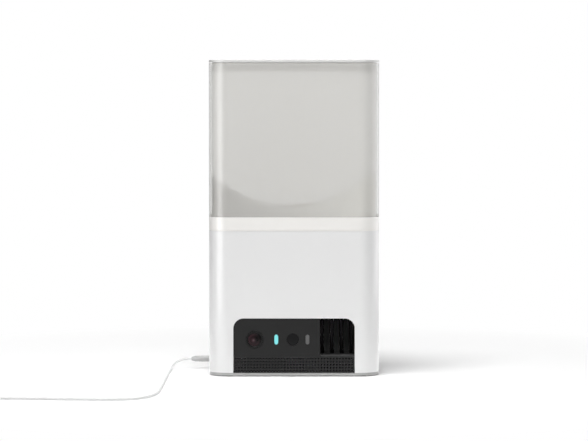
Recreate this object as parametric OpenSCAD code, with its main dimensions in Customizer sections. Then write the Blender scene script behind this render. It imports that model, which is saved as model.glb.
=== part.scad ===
// Treat tossing pet camera. The front faces -Y, +Z is up, and the origin is at the middle of the footprint.

/* [Housing] */
// Width of the housing, side to side
body_w = 145; // [142:1:160]
// Depth of the housing, front to back
body_d = 74; // [73:0.5:84]
// Radius of the upright corners
corner_r = 17; // [14:0.5:20]
// Height of the white lower housing
shell_h = 120.6; // [118:0.2:140]
// Wall of the lower housing
shell_wall = 2.2; // [1.8:0.1:2.6]
// Height of the milky collar
collar_h = 11.8; // [11:0.2:16]
// Wall of the collar
collar_wall = 2.4; // [2:0.1:3]
// Depth of the shadow groove under the collar
groove_depth = 0.6; // [0.3:0.1:0.9]
// Height of that groove
groove_h = 0.5; // [0.3:0.1:0.8]

/* [Base] */
// Thickness of the base plate
base_t = 2.4; // [2.2:0.1:4]
// How far the base plate's lower edge is set in
base_inset = 1.4; // [0.5:0.1:2.5]
// How far the feet stand out below the base plate
foot_stand = 0.8; // [0.4:0.1:1.5]
// How deep a foot sits in the base plate
foot_seat = 0.8; // [0.4:0.1:1.4]
// Radius of a foot
foot_r = 6; // [4:0.5:8]
// Radius of the screw bosses in the housing
boss_r = 4.2; // [3.6:0.1:5]
// Height of the screw bosses
boss_h = 20; // [14:1:30]
// Radius of the housing's screws
screw_r = 1.4; // [1.2:0.05:1.6]
// Length of the housing's screws under the head
screw_len = 9; // [7:0.5:14]

/* [Container and lid] */
// Height of the treat container
container_h = 130.9; // [90:1:180]
// Wall of the container
container_wall = 2.4; // [2:0.1:3]
// Thickness of the lid's cap
cap_t = 2.2; // [1.8:0.1:4]
// Height of the lid's plug inside the container
plug_h = 8; // [6:0.5:14]
// Wall of the plug
plug_wall = 3; // [2.5:0.1:4]
// Height of the silicone gasket on the plug
gasket_h = 2.2; // [1.5:0.1:3]
// How deep the gasket sits in the plug's wall
gasket_seat = 1; // [0.8:0.1:1.5]
// Gap between the plug and the container
plug_gap = 0.6; // [0.5:0.1:1]

/* [Hopper] */
// Radius of the hopper's curved floor
trough_r = 97; // [85:1:120]
// Height of the curved floor's lowest line above the collar
trough_lift = 7.4; // [6.5:0.2:12]
// Distance of that line from the middle, towards the left
trough_left = 3.5; // [0:0.5:6]
// Height of the hopper insert
hopper_h = 35.4; // [30:0.5:50]
// Wall of the hopper insert
hopper_wall = 1.8; // [1.4:0.1:2.2]

/* [Feeding] */
// Height of the metering wheel
wheel_h = 12; // [10:0.5:14]
// Width of the toothed rim
rim_h = 4; // [3:0.5:6]
// Pockets in the wheel
pocket_count = 6; // [4:1:6]
// Wall between two pockets
pocket_web = 3.5; // [3.5:0.25:7.5]
// Wall between a pocket and the roots of the teeth
rim_web = 0.8; // [0.8:0.1:2]
// Gap between the metering housing and the hopper's wall
wheel_edge = 1.7; // [1.2:0.1:3]
// Radius of the wheel's axle
axle_r = 2.5; // [2:0.25:4]
// Wall of the metering housing
cup_wall = 1.6; // [1.2:0.1:1.8]
// Thickness of the metering housing's floor and cover
cup_floor = 2; // [1.5:0.1:3]
// Thickness of the feed deck
deck_t = 2.4; // [2:0.1:4]
// Radius of the feed motor's gearbox
feed_motor_r = 12.5; // [10:0.5:14]
// Length of the feed motor
feed_motor_len = 50; // [40:1:60]
// Margin between the wheel's outlet and the drop chute
chute_margin = 0.8; // [0.1:0.1:1.1]
// Wall of the drop chute
chute_wall = 1.4; // [1:0.1:1.8]

/* [Front panel] */
// Distance from the dark panel to each side of the housing
panel_side = 20.9; // [18.5:0.1:22.5]
// Height of the dark panel
panel_h = 46.4; // [45:0.2:54]
// Thickness of the dark panel
panel_t = 2.2; // [1.8:0.1:2.6]
// Radius of its top corners
panel_r = 8.5; // [5:0.5:12]
// Height of the perforated strip
grille_h = 13.8; // [13:0.2:15]
// Radius of a sound hole
hole_r = 0.75; // [0.5:0.05:0.95]
// Distance between sound holes
hole_pitch = 2.6; // [2.4:0.1:3]
// Height of the row of windows above the base plate
window_z = 28.4; // [27:0.2:30]
// Width of the treat opening
opening_w = 29.7; // [28:0.1:31]

/* [Camera and windows] */
// Place of the lens across the panel's closed part, as a share of its width
lens_place = 0.246; // [0.212:0.002:0.28]
// Outer radius of the lens ring
lens_ring_r = 7.5; // [6.5:0.1:8.5]
// Radius of the lens glass
lens_glass_r = 5.6; // [5:0.1:5.8]
// Place of the status light, as the lens's
light_place = 0.497; // [0.484:0.001:0.512]
// Width of the status light and of the pill window
pill_w = 3.2; // [2.4:0.1:4]
// Height of the status light
light_h = 8.5; // [6:0.1:10]
// Place of the round sensor window, as the lens's
sensor_place = 0.688; // [0.675:0.001:0.702]
// Radius of the round sensor window
sensor_r = 5.2; // [4:0.1:5.6]
// Place of the pill window, as the lens's
pill_place = 0.858; // [0.845:0.001:0.865]
// Height of the pill window
pill_h = 8.2; // [6:0.1:10]
// Thickness of the glass and of the windows
glass_t = 1; // [0.8:0.1:1.2]
// Radius of the lens barrel
barrel_r = 4.4; // [3.5:0.1:4.4]
// How far the glass is set back in its ring
glass_set = 0.6; // [0.3:0.1:0.8]
// Width of the camera board
camera_board_w = 24; // [22:0.5:26]

/* [Throwing] */
// Radius of the chamber's curved back
cradle_r = 16; // [13:0.5:18]
// Wall of the launch chamber
chamber_wall = 1.6; // [1.2:0.1:2]
// Fingers on the thrower
finger_count = 4; // [3:1:4]
// Distance between the fingers
finger_pitch = 8.33; // [7.5:0.01:8.5]
// Width of a finger
finger_w = 2.4; // [1.8:0.1:3]
// Thickness of a finger
finger_t = 3; // [2:0.1:3.2]
// Length of a finger from the thrower's axis
finger_len = 32; // [28:0.5:33]
// Side clearance of a finger in its slot
slot_gap = 0.5; // [0.4:0.05:1]
// Radius of the thrower's hub
hub_r = 4.5; // [3.5:0.1:5]
// Radius of the thrower's shaft
shaft_r = 2; // [1.5:0.1:2.5]
// Angle that the thrower swings through
throw_angle = 48; // [30:1:48]
// Width of each gear of the throwing train
gear_w = 4; // [3:0.25:5]
// Thickness of the gear plate
gear_plate_t = 2; // [1.5:0.1:3]
// Width of the throw motor, front to back
throw_motor_w = 15.4; // [12:0.2:15.4]
// Height of the throw motor
throw_motor_h = 20; // [16:0.5:22]
// Length of the throw motor
throw_motor_len = 25.2; // [20:0.2:30]

/* [Sound] */
// Distance of the speaker's middle from the panel's left edge
speaker_in = 26.6; // [23.6:1:31.6]
// Width of the speaker
speaker_w = 38; // [30:1:40]
// Depth of the speaker's frame
speaker_t = 3; // [2.5:0.1:3.2]
// Length of the speaker's magnet
magnet_w = 18; // [12:1:24]
// Depth of the speaker's magnet
magnet_t = 4.3; // [3:0.1:6]

/* [Electronics] */
// Gap between the main board and the gear plate
board_clear = 6.25; // [4.25:0.25:10.25]
// Height of the main board
board_h = 78; // [70:1:84]
// Thickness of the boards
board_t = 1.6; // [1:0.1:2]
// Distance of the main board from the back wall
board_stand = 7.2; // [6.5:0.1:8]
// Radius of the power jack's bore
jack_r = 1.85; // [1.6:0.05:2.2]
// Half width of the power jack
jack_half = 3.7; // [3.2:0.1:3.8]
// Distance of the set-up button from the housing's left side
button_in = 22.5; // [21:0.5:24]
// Height of the set-up button above the main board's foot
button_lift = 36; // [30:1:44]
// Radius of the set-up button
button_r = 3; // [2.5:0.1:4]
// Travel of the set-up button
button_travel = 1; // [0.6:0.1:1]
// Height of the antenna's middle above the base plate
antenna_lift = 64; // [50:1:90]
// Length of the antenna
antenna_len = 28; // [20:1:36]
// Width of the antenna
antenna_w = 8; // [5:0.5:12]

/* [Wall mounting] */
// Distance between the two keyholes
keyhole_pitch = 60; // [50:1:64]
// Height of the keyholes above the base plate
keyhole_lift = 100.8; // [97:0.2:104]
// Radius of a keyhole's round end
keyhole_r = 4; // [3.5:0.1:4.5]
// Half width of a keyhole's slot
keyhole_slot = 2.2; // [1.8:0.1:2.4]

/* [Lead] */
// Radius of the plug's moulding
moulding_r = 2.6; // [2.3:0.1:2.9]

/* [Hidden] */
$fn = 48;

// Clearances: e_fit for a running fit, e_gap between loose pieces, e_press inside a pressed-on part
e_fit = 0.05;
e_gap = 0.3;
e_press = 0.01;
nothing = 0.01;
// How far a cut runs past the face that it opens
over = 1;

// Levels of the stack, from the floor up
z_base = foot_stand;
z_shell = z_base + base_t;
z_collar = z_shell + shell_h;
z_container = z_collar + collar_h;
z_rim = z_container + container_h;
z_cap = z_rim + e_gap;
z_top = z_cap + cap_t;
z_deck = z_collar - deck_t;
z_keyhole = z_shell + keyhole_lift;

// Faces of the lower housing
y_front = -body_d / 2;
y_rear = body_d / 2;
y_rear_in = y_rear - shell_wall;
x_side_in = body_w / 2 - shell_wall;
panel_w = body_w - 2 * panel_side;

// Inset of each fixed shell from the outer outline
hopper_inset = container_wall + e_gap;
ledge_t = 2;
ledge_inset = hopper_inset + hopper_wall + 0.4;
deck_ledge = shell_wall / 2;
deck_inset = deck_ledge + 0.1;
plug_inset = container_wall + plug_gap;

// The dark panel is set back a little in its cut-out
panel_recess = 0.2;
panel_gap = 0.15;
y_panel = y_front + panel_recess;
y_panel_in = y_panel + panel_t;
z_panel_top = z_shell + panel_h;
y_glass = y_front + glass_set;
ring_flange_t = 1.2;
z_lip = z_shell + grille_h;
z_window = z_shell + window_z;
x_opening = panel_w / 2 - opening_w;
function across(place) = -panel_w / 2 + place * (panel_w - opening_w);
lens_x = across(lens_place);
light_x = across(light_place);
sensor_x = across(sensor_place);
pill_x = across(pill_place);
speaker_x = -panel_w / 2 + speaker_in;

// Gears. The throwing train's counts are those of full circles, and the wheel is as wide as the hopper allows.
feed_teeth = 12;
sector_teeth = 24;
driving_teeth = 16;
driven_teeth = 24;
throw_teeth = 12;
gear_module = 1;
pressure_angle = 20;
backlash = 0.24;
addendum = 0.8;
dedendum = 1.2;
tip_gap = 0.4;
wheel_room = body_d / 2 - hopper_inset - hopper_wall - wheel_edge - cup_wall - tip_gap;
wheel_teeth = round(2 * (wheel_room / gear_module - addendum));
function pitch_r(teeth) = gear_module * teeth / 2;
function tip_r(teeth) = pitch_r(teeth) + addendum * gear_module;
function root_r(teeth) = pitch_r(teeth) - dedendum * gear_module;

// The pockets fill the wheel inside its teeth
pocket_span = root_r(wheel_teeth) - rim_web;
pocket_sine = sin(180 / pocket_count);
pocket_r = (2 * pocket_span * pocket_sine - pocket_web) / (2 + 2 * pocket_sine);
pocket_reach = pocket_span - pocket_r;
outlet_r = pocket_r + 1;
chute_half = outlet_r + chute_margin;

// The launch chamber stands behind the treat opening; its walls hide behind the opening's edges
wall_hide = 0.25;
chamber_x = x_opening + opening_w / 2;
chamber_half = opening_w / 2 - wall_hide;
y_mouth = y_panel_in;
y_back = 2;
z_floor = z_lip + 1;
z_ceiling = z_panel_top - 0.4;
z_cradle_top = z_floor + 2 * cradle_r - 2;
z_chute = z_cradle_top + 14;
slant = 8;
chute_back = chute_half + chute_wall;
cheek_x = chamber_x - chamber_half - chamber_wall;
right_cheek_x = chamber_x + chamber_half;

// The thrower turns about an axis behind and below the curved back
rest_angle = 93;
pivot_y = y_back + 6;
pivot_z = z_shell + 10.8;
slot_top = pivot_z + finger_len + 1.3;

// The throwing train, from the sector gear on the thrower's shaft to the motor's pinion
drive_dir = 60;
pinion_dir = 150;
drive_y = pivot_y + (pitch_r(sector_teeth) + pitch_r(driving_teeth)) * cos(drive_dir);
drive_z = pivot_z + (pitch_r(sector_teeth) + pitch_r(driving_teeth)) * sin(drive_dir);
throw_y = drive_y + (pitch_r(driven_teeth) + pitch_r(throw_teeth)) * cos(pinion_dir);
throw_z = drive_z + (pitch_r(driven_teeth) + pitch_r(throw_teeth)) * sin(pinion_dir);
x_driving = cheek_x - 1.6 - gear_w;
x_driven = x_driving - 0.4 - gear_w;
x_gear_plate = x_driven - e_gap - gear_plate_t;
gear_post_r = 2.5;
gear_screw_hold = 6;
plate_edge = 5;
plate_half = tip_r(sector_teeth) + gear_post_r + plate_edge + 0.7;
plate_reach = 14;
z_plate_top = drive_z + 20;
motor_seat = 5;
x_spring = right_cheek_x + chamber_wall;
x_collar = x_spring + 7;
x_shaft_end = x_collar + 1.5;

// Feeding: the wheel's outlet pocket stands over the launch chamber
wheel_x = chamber_x - pocket_reach;
feed_x = wheel_x - pitch_r(wheel_teeth) - pitch_r(feed_teeth);
cup_r = tip_r(wheel_teeth) + tip_gap;
pinion_cup_r = tip_r(feed_teeth) + 2 * tip_gap;
shaft_hole_r = shaft_r + 1;
z_cup = z_collar + cup_floor;
z_wheel = z_cup + e_gap;
z_wheel_top = z_wheel + wheel_h;
pinion_h = rim_h - 0.4;
z_cover = z_wheel_top + 0.5;
cover_t = 1.6;
feed_window_r = pocket_reach + pocket_r + 1.4;
feed_window_back = 1.5;

// Lid and hopper
plug_floor = 1.6;
z_gasket = z_cap - plug_h + 1.4;
lid_screw_hold = 1.2;
z_trough = z_container + trough_lift + trough_r;
throat_rise = 3;

// Screw places
shell_boss_x = x_side_in - boss_r + shell_wall / 4;
shell_boss_y = 12;
collar_boss_r = 3.5;
collar_screw_h = 6.2;
head_h = 1.4;
head_r = 2 * screw_r;
small_r = 1;
shaft_seat = 8;
small_head_r = 2;
small_head_h = 1.2;
small_len = 4;

// The rear recess that the plug lies in, and the jack at its end
plug_y = y_rear_in - jack_half;
plug_z = z_shell + 5.3;
recess_half = 3.6;
recess_y = plug_y - 3.4;
recess_wall = 1.4;
x_jack = -body_w / 2 + 33;
jack_len = 11;
jack_end_t = 1.5;
barrel_clear = 0.1;
neck_r = 1.3;

// Main board and its posts
y_board = y_rear_in - board_stand - board_t;
x_board = -body_w / 2 + 12.5;
board_w = x_gear_plate - board_clear - x_board;
z_board = z_shell + 17;
post_r = 3;
post_edge = 4.5;

// Set-up button
button_x = -body_w / 2 + button_in;
button_z = z_board + button_lift;
flange_t = 1;
flange_r = button_r + 1.4;
switch_w = 5.2;
switch_h = 2.8;
y_button = y_rear - 0.3;
y_flange = y_rear_in;
button_rear = y_board + board_t + switch_h + button_travel + e_gap;

// Pieces behind the front panel
chassis_t = 1.6;
chassis_gap = 3.6;
y_chassis = y_panel_in + chassis_gap;
chassis_left = -panel_w / 2 - 8;
chassis_right = cheek_x - 1;
grille_t = 2;
y_grille_in = y_panel + grille_t;
led_board_t = 1.6;
panel_post_r = 2;
camera_back = 8.4;
y_camera_board = y_chassis + chassis_t + camera_back;
camera_post_r = 1.8;
speaker_h = grille_h - 2.2;
speaker_corner = 5;
speaker_rim = 1.4;
cone_back = 1;
grille_edge = 2.2;

// Route of the lead, laid by hand: out of the plug, down to the floor and round to the front
CORD = [
    [-89.5, 31, 8.5], [-94, 31, 8.3], [-98, 30.2, 7.6], [-102, 28, 6], [-104.5, 23, 3.8], [-106, 15, 2.1],
    [-106.5, 5, 1.2], [-107, -8, 1], [-107.5, -22, 1], [-107.5, -37, 1], [-107.5, -52, 1],
    [-108, -67, 1], [-108, -82, 1], [-108, -97, 1], [-108.5, -112, 1], [-108.5, -126, 1],
    [-109, -140, 1], [-109, -154, 1], [-110, -168, 1], [-112.5, -184, 1], [-117, -197, 1],
    [-124, -207, 1], [-133, -212, 1], [-144, -214, 1], [-158, -214, 1], [-175, -212.5, 1],
    [-193, -210, 1], [-211, -208, 1], [-229, -206.6, 1], [-243, -206, 1.2], [-257, -206, 1.5]
];
// The lead's tail: off the top of the coil and down to the plug at its far end
TAIL = [
    [-270, -193, 10.5], [-270, -184, 10.2], [-270, -176, 8.8], [-270, -169, 6.6], [-270, -163, 4.6],
    [-270, -158, 4], [-270, -154, 4]
];
cord_d = 1.8;
coil_x = -257;
coil_y = -193;
coil_z = 0.6;
coil_rows = 6;
coil_columns = 4;
coil_mid_r = 10.3;
coil_half = coil_columns * cord_d / 2;
tie_w = 8;
tie_t = coil_z;
usb_x = TAIL[len(TAIL) - 1][0];
usb_y = TAIL[len(TAIL) - 1][1];
usb_z = TAIL[len(TAIL) - 1][2];

// ---- Shapes that repeat ----

module rounded_rect(w, d, r) {
    square([w - 2 * r, d], center = true);
    square([w, d - 2 * r], center = true);
    for (sx = [-1, 1], sy = [-1, 1])
        translate([sx * (w / 2 - r), sy * (d / 2 - r)]) circle(r);
}

// The housing's outline from above, drawn in by an inset
module outline(inset) {
    rounded_rect(body_w - 2 * inset, body_d - 2 * inset, corner_r - inset);
}

module slab(inset, z0, z1) {
    translate([0, 0, z0]) linear_extrude(z1 - z0) outline(inset);
}

// A wall that follows the outline, from one inset to a deeper one
module wall(outer, inner, z0, z1) {
    translate([0, 0, z0]) linear_extrude(z1 - z0) difference() {
        outline(outer);
        outline(inner);
    }
}

module block(x, y, z) {
    translate([x[0], y[0], z[0]]) cube([x[1] - x[0], y[1] - y[0], z[1] - z[0]]);
}

module rod_x(x0, x1, y, z, r) {
    translate([x0, y, z]) rotate([0, 90, 0]) cylinder(h = x1 - x0, r = r);
}

module rod_y(y0, y1, x, z, r) {
    translate([x, y1, z]) rotate([90, 0, 0]) cylinder(h = y1 - y0, r = r);
}

module rod_z(z0, z1, x, y, r) {
    translate([x, y, z0]) cylinder(h = z1 - z0, r = r);
}

// Draws a (Y, Z) outline and gives it a thickness along X
module along_x(x0, x1, y = 0, z = 0) {
    translate([x0, y, z]) rotate([90, 0, 90]) linear_extrude(x1 - x0) children();
}

// Draws an (X, Z) outline and gives it a thickness along Y
module along_y(y0, y1, x = 0, z = 0) {
    translate([x, y1, z]) rotate([90, 0, 0]) linear_extrude(y1 - y0) children();
}

module pill(w, h) {
    square([w, h - w], center = true);
    for (s = [-1, 1]) translate([0, s * (h - w) / 2]) circle(w / 2);
}

// A screw that points up, its head below z
module screw_up(x, y, z, r, length, heads_r, heads_h) {
    rod_z(z - nothing, z + length, x, y, r);
    rod_z(z - heads_h, z, x, y, heads_r);
}

// ---- Gears ----

function polar(r, a) = [r * cos(a), r * sin(a)];
function involute_angle(a) = tan(a) * 180 / PI - a;
// Half the angle that a tooth takes up at radius r
function half_tooth(teeth, r) =
    let (rp = pitch_r(teeth), rb = rp * cos(pressure_angle))
    90 / teeth - backlash / 4 / rp * 180 / PI + involute_angle(pressure_angle)
        - involute_angle(acos(min(1, rb / max(r, rb))));
function flank(teeth) =
    let (rb = pitch_r(teeth) * cos(pressure_angle), low = max(root_r(teeth) + 0.2, rb))
    [root_r(teeth), for (s = [0:0.25:1]) low + (tip_r(teeth) - low) * s];
function tooth(teeth, i) =
    let (a = 360 * i / teeth, f = flank(teeth))
    concat(
        [for (r = f) polar(r, a - half_tooth(teeth, r))],
        [for (k = [len(f) - 1:-1:0]) polar(f[k], a + half_tooth(teeth, f[k]))]
    );
function bare_pitch(teeth, i) =
    let (a = 360 / teeth) [polar(root_r(teeth), a * (i - 0.25)), polar(root_r(teeth), a * (i + 0.25))];
// A gear that has its first teeth cut and the rest of its rim bare
function gear_points(teeth, cut_teeth) =
    [for (i = [0:teeth - 1]) each (i < cut_teeth ? tooth(teeth, i) : bare_pitch(teeth, i))];
function sector_points(teeth, cut_teeth) =
    [[0, 0], for (i = [0:cut_teeth - 1]) each tooth(teeth, i)];

// ---- Bars along a path ----

function unit(v) = v / norm(v);
// A Catmull-Rom curve through the points, cut into steps between each pair
function curve_point(p0, p1, p2, p3, t) =
    0.5 * (2 * p1 + (p2 - p0) * t + (2 * p0 - 5 * p1 + 4 * p2 - p3) * t * t
        + (3 * p1 - p0 - 3 * p2 + p3) * t * t * t);
function smooth(p, steps) =
    let (last = len(p) - 1) [
        for (i = [0:last - 1], k = [0:steps - 1])
            curve_point(p[max(i - 1, 0)], p[i], p[i + 1], p[min(i + 2, last)], k / steps),
        p[last]
    ];

// A round bar along a path; `up` is a direction that the path never runs along
module bar(path, r, sides, up) {
    n = len(path);
    rings = [
        for (i = [0:n - 1])
            let (
                t = unit(path[min(i + 1, n - 1)] - path[max(i - 1, 0)]),
                s = unit(cross(t, up)),
                u = cross(s, t)
            )
            for (k = [0:sides - 1])
                path[i] + r * (cos(360 * k / sides) * s + sin(360 * k / sides) * u)
    ];
    side_faces = [
        for (i = [0:n - 2], k = [0:sides - 1])
            let (next = (k + 1) % sides)
            [i * sides + k, i * sides + next, (i + 1) * sides + next, (i + 1) * sides + k]
    ];
    start_face = [for (k = [sides - 1:-1:0]) k];
    end_face = [for (k = [0:sides - 1]) (n - 1) * sides + k];
    polyhedron(points = rings, faces = concat([start_face, end_face], side_faces));
}

// ---- Lower housing ----

// The dark panel's outline, square at the foot and round at the top
module panel_outline(gap) {
    w = panel_w - 2 * gap;
    h = panel_h - gap;
    translate([-w / 2, 0]) square([w, h - panel_r]);
    translate([-w / 2 + panel_r, 0]) square([w - 2 * panel_r, h]);
    for (s = [-1, 1]) translate([s * (w / 2 - panel_r), h - panel_r]) circle(panel_r);
}

module keyhole_cut() {
    for (s = [-1, 1]) {
        rod_y(y_rear_in - over, y_rear + over, s * keyhole_pitch / 2, z_keyhole, keyhole_r);
        block(
            [s * keyhole_pitch / 2 - keyhole_slot, s * keyhole_pitch / 2 + keyhole_slot],
            [y_rear_in - over, y_rear + over],
            [z_keyhole, z_keyhole + 2.2 * keyhole_r]
        );
    }
}

function board_posts() = [
    for (x = [x_board + post_edge, x_board + board_w - post_edge], z = [z_board + post_edge, z_board + board_h - post_edge])
        [x, z]
];

module body_shell() {
    color([0.93, 0.93, 0.92]) difference() {
        union() {
            wall(0, shell_wall, z_shell, z_collar);
            for (sx = [-1, 1], sy = [-1, 1])
                rod_z(z_shell, z_shell + boss_h, sx * shell_boss_x, sy * shell_boss_y, boss_r);
            intersection() {
                slab(0, z_shell, z_shell + boss_h);
                block(
                    [-body_w / 2, x_jack + recess_wall],
                    [recess_y - recess_wall, y_rear],
                    [z_shell, plug_z + recess_half + recess_wall]
                );
            }
            for (p = board_posts()) rod_y(y_board + board_t, y_rear_in + shell_wall / 2, p[0], p[1], post_r);
        }
        // Ledge for the feed deck
        slab(deck_ledge, z_deck, z_collar + over);
        // Cut-out for the dark panel
        along_y(y_front - over, y_front + shell_wall + over, 0, z_shell) union() {
            panel_outline(0);
            translate([0, -over]) panel_outline(0);
        }
        // Recess that the plug lies in, open to the back and to the left
        block([-body_w / 2 - over, x_jack], [recess_y, y_rear + over], [plug_z - recess_half, plug_z + recess_half]);
        rod_x(x_jack - over, x_jack + recess_wall + over, plug_y, plug_z, moulding_r + e_gap);
        rod_y(y_rear_in - over, y_rear + over, button_x, button_z, button_r + e_gap);
        keyhole_cut();
        for (sx = [-1, 1], sy = [-1, 1])
            rod_z(z_shell - over, z_base + head_h + screw_len + over, sx * shell_boss_x, sy * shell_boss_y,
                screw_r + e_fit);
        for (p = board_posts()) rod_y(y_board, y_board + board_t + small_len + over, p[0], p[1], small_r + e_fit);
    }
}

module base_plate() {
    color([0.72, 0.72, 0.71]) difference() {
        union() {
            slab(base_inset, z_base, z_base + base_t / 2);
            slab(base_inset / 3, z_base + base_t / 2, z_shell);
        }
        for (p = foot_places()) rod_z(z_base - over, z_base + foot_seat, p[0], p[1], foot_r);
        for (sx = [-1, 1], sy = [-1, 1]) {
            rod_z(z_base - over, z_base + head_h, sx * shell_boss_x, sy * shell_boss_y, head_r + e_gap);
            rod_z(z_base - over, z_shell + over, sx * shell_boss_x, sy * shell_boss_y, screw_r + e_fit);
        }
    }
}

function foot_places() =
    let (x = body_w / 2 - corner_r + 1, y = body_d / 2 - foot_r - 5)
    [[-x, -y], [x, -y], [-x, y], [x, y]];

module base_feet() {
    color([0.3, 0.3, 0.3]) for (p = foot_places()) rod_z(0, z_base + foot_seat, p[0], p[1], foot_r);
}

module base_screws() {
    color("silver") for (sx = [-1, 1], sy = [-1, 1])
        screw_up(sx * shell_boss_x, sy * shell_boss_y, z_base + head_h, screw_r, screw_len, head_r, head_h);
}

module feed_deck() {
    color([0.85, 0.85, 0.84]) difference() {
        slab(deck_inset, z_deck, z_collar);
        rod_z(z_deck - over, z_collar + over, chamber_x, 0, outlet_r);
        rod_z(z_deck - over, z_collar + over, wheel_x, 0, axle_r + e_press);
        rod_z(z_deck - over, z_collar + over, feed_x, 0, shaft_hole_r);
        for (p = collar_bosses()) rod_z(z_deck - over, z_collar + over, p[0], p[1], screw_r + e_fit);
    }
}

// ---- Collar, container and hopper ----

function collar_bosses() =
    let (reach = (corner_r - collar_wall - collar_boss_r + 0.6) / sqrt(2))
    [for (sx = [-1, 1], sy = [-1, 1])
        [sx * (body_w / 2 - corner_r + reach), sy * (body_d / 2 - corner_r + reach)]];

module collar() {
    color([0.94, 0.93, 0.91]) difference() {
        union() {
            wall(0, collar_wall, z_collar, z_container);
            wall(0, ledge_inset, z_container - ledge_t, z_container);
            for (p = collar_bosses()) rod_z(z_collar, z_container - ledge_t / 2, p[0], p[1], collar_boss_r);
        }
        wall(-1, groove_depth, z_collar - over, z_collar + groove_h);
        for (p = collar_bosses()) rod_z(z_collar - over, z_collar + collar_screw_h, p[0], p[1], screw_r + e_fit);
    }
}

module collar_screws() {
    color("silver") for (p = collar_bosses())
        screw_up(p[0], p[1], z_deck, screw_r, deck_t + collar_screw_h - 0.5, head_r, head_h);
}

module container() {
    color([0.62, 0.62, 0.6, 0.45]) wall(0, container_wall, z_container, z_rim);
}

// The half round window through which treats fall into the wheel, seen from the wheel's axis
module feed_window(grow) {
    intersection() {
        circle(feed_window_r + grow);
        translate([-body_w, -body_d]) square([body_w - feed_window_back + grow, 2 * body_d]);
    }
}

module trough_cut(grow) {
    rod_y(y_front, y_rear, -trough_left, z_trough, trough_r + grow, $fn = 160);
}

module hopper_floor() {
    color([0.7, 0.69, 0.67]) difference() {
        union() {
            difference() {
                slab(hopper_inset, z_container, z_container + hopper_h);
                difference() {
                    slab(hopper_inset + hopper_wall, z_container - over, z_container + hopper_h - hopper_wall);
                    trough_cut(hopper_wall);
                }
            }
            // Sides of the throat, down to the wheel's cover
            translate([wheel_x, 0, z_cover + cover_t])
                linear_extrude(z_container + trough_lift + throat_rise - z_cover - cover_t)
                    feed_window(hopper_wall);
        }
        trough_cut(0);
        translate([wheel_x, 0, z_container]) linear_extrude(hopper_h) feed_window(0);
    }
}

// ---- Feeding ----

module cup_outline(r, pinion_r) {
    circle(r);
    translate([feed_x - wheel_x, 0]) circle(pinion_r);
}

module metering_housing() {
    color([0.9, 0.9, 0.88]) translate([wheel_x, 0, 0]) difference() {
        translate([0, 0, z_collar]) linear_extrude(z_cover - z_collar)
            cup_outline(cup_r + cup_wall, pinion_cup_r + cup_wall);
        translate([0, 0, z_cup]) linear_extrude(z_cover) cup_outline(cup_r, pinion_cup_r);
        rod_z(z_collar - over, z_cover, pocket_reach, 0, outlet_r);
        rod_z(z_collar - over, z_cover, 0, 0, axle_r + e_press);
        rod_z(z_collar - over, z_cover, feed_x - wheel_x, 0, shaft_hole_r);
    }
}

module wheel_cover() {
    color([0.88, 0.88, 0.86]) translate([wheel_x, 0, z_cover]) linear_extrude(cover_t) difference() {
        cup_outline(cup_r + cup_wall, pinion_cup_r + cup_wall);
        feed_window(0);
    }
}

module metering_wheel() {
    color([0.95, 0.55, 0.2]) translate([wheel_x, 0, 0]) difference() {
        union() {
            translate([0, 0, z_wheel]) linear_extrude(rim_h)
                rotate(180) polygon(gear_points(wheel_teeth, wheel_teeth));
            rod_z(z_wheel + rim_h, z_wheel_top, 0, 0, root_r(wheel_teeth) + 0.6);
        }
        for (i = [0:pocket_count - 1])
            rotate(360 * i / pocket_count) rod_z(z_wheel - over, z_wheel_top + over, pocket_reach, 0, pocket_r);
        rod_z(z_wheel - over, z_wheel_top + over, 0, 0, axle_r + e_fit);
    }
}

module wheel_axle() {
    color("silver") rod_z(z_deck, z_cover, wheel_x, 0, axle_r);
}

module feed_pinion() {
    color([0.9, 0.9, 0.9]) translate([feed_x, 0, 0]) difference() {
        translate([0, 0, z_wheel]) linear_extrude(pinion_h)
            rotate(180 / feed_teeth) polygon(gear_points(feed_teeth, feed_teeth));
        rod_z(z_wheel - over, z_wheel + pinion_h + over, 0, 0, shaft_r + e_press);
    }
}

module feed_motor_shaft() {
    color("silver") rod_z(z_deck - shaft_seat, z_wheel + rim_h, feed_x, 0, shaft_r);
}

module feed_motor() {
    can_r = feed_motor_r - 0.5;
    gearbox_h = 20;
    z_can = z_deck - feed_motor_len;
    color([0.75, 0.75, 0.77]) difference() {
        union() {
            rod_z(z_deck - gearbox_h, z_deck, feed_x, 0, feed_motor_r);
            rod_z(z_can, z_deck - gearbox_h, feed_x, 0, can_r);
            rod_z(z_can - 2, z_can, feed_x, 0, 4);
        }
        rod_z(z_deck - shaft_seat - over, z_deck + over, feed_x, 0, shaft_r + e_fit);
    }
}

module drop_chute() {
    flange_t = 1.6;
    top_flange = chute_back + 2;
    low_flange = [chamber_half + chamber_wall, chute_back + chamber_wall];
    color([0.82, 0.82, 0.8]) translate([chamber_x, 0, 0]) difference() {
        union() {
            block([-chute_back, chute_back], [-chute_back, chute_back], [z_chute, z_deck]);
            block([-top_flange, top_flange], [-top_flange, top_flange], [z_deck - flange_t, z_deck]);
            block([-low_flange[0], low_flange[0]], [-low_flange[1], low_flange[1]], [z_chute, z_chute + flange_t]);
        }
        block([-chute_half, chute_half], [-chute_half, chute_half], [z_chute - over, z_deck + over]);
    }
}

// ---- Throwing ----

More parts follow.
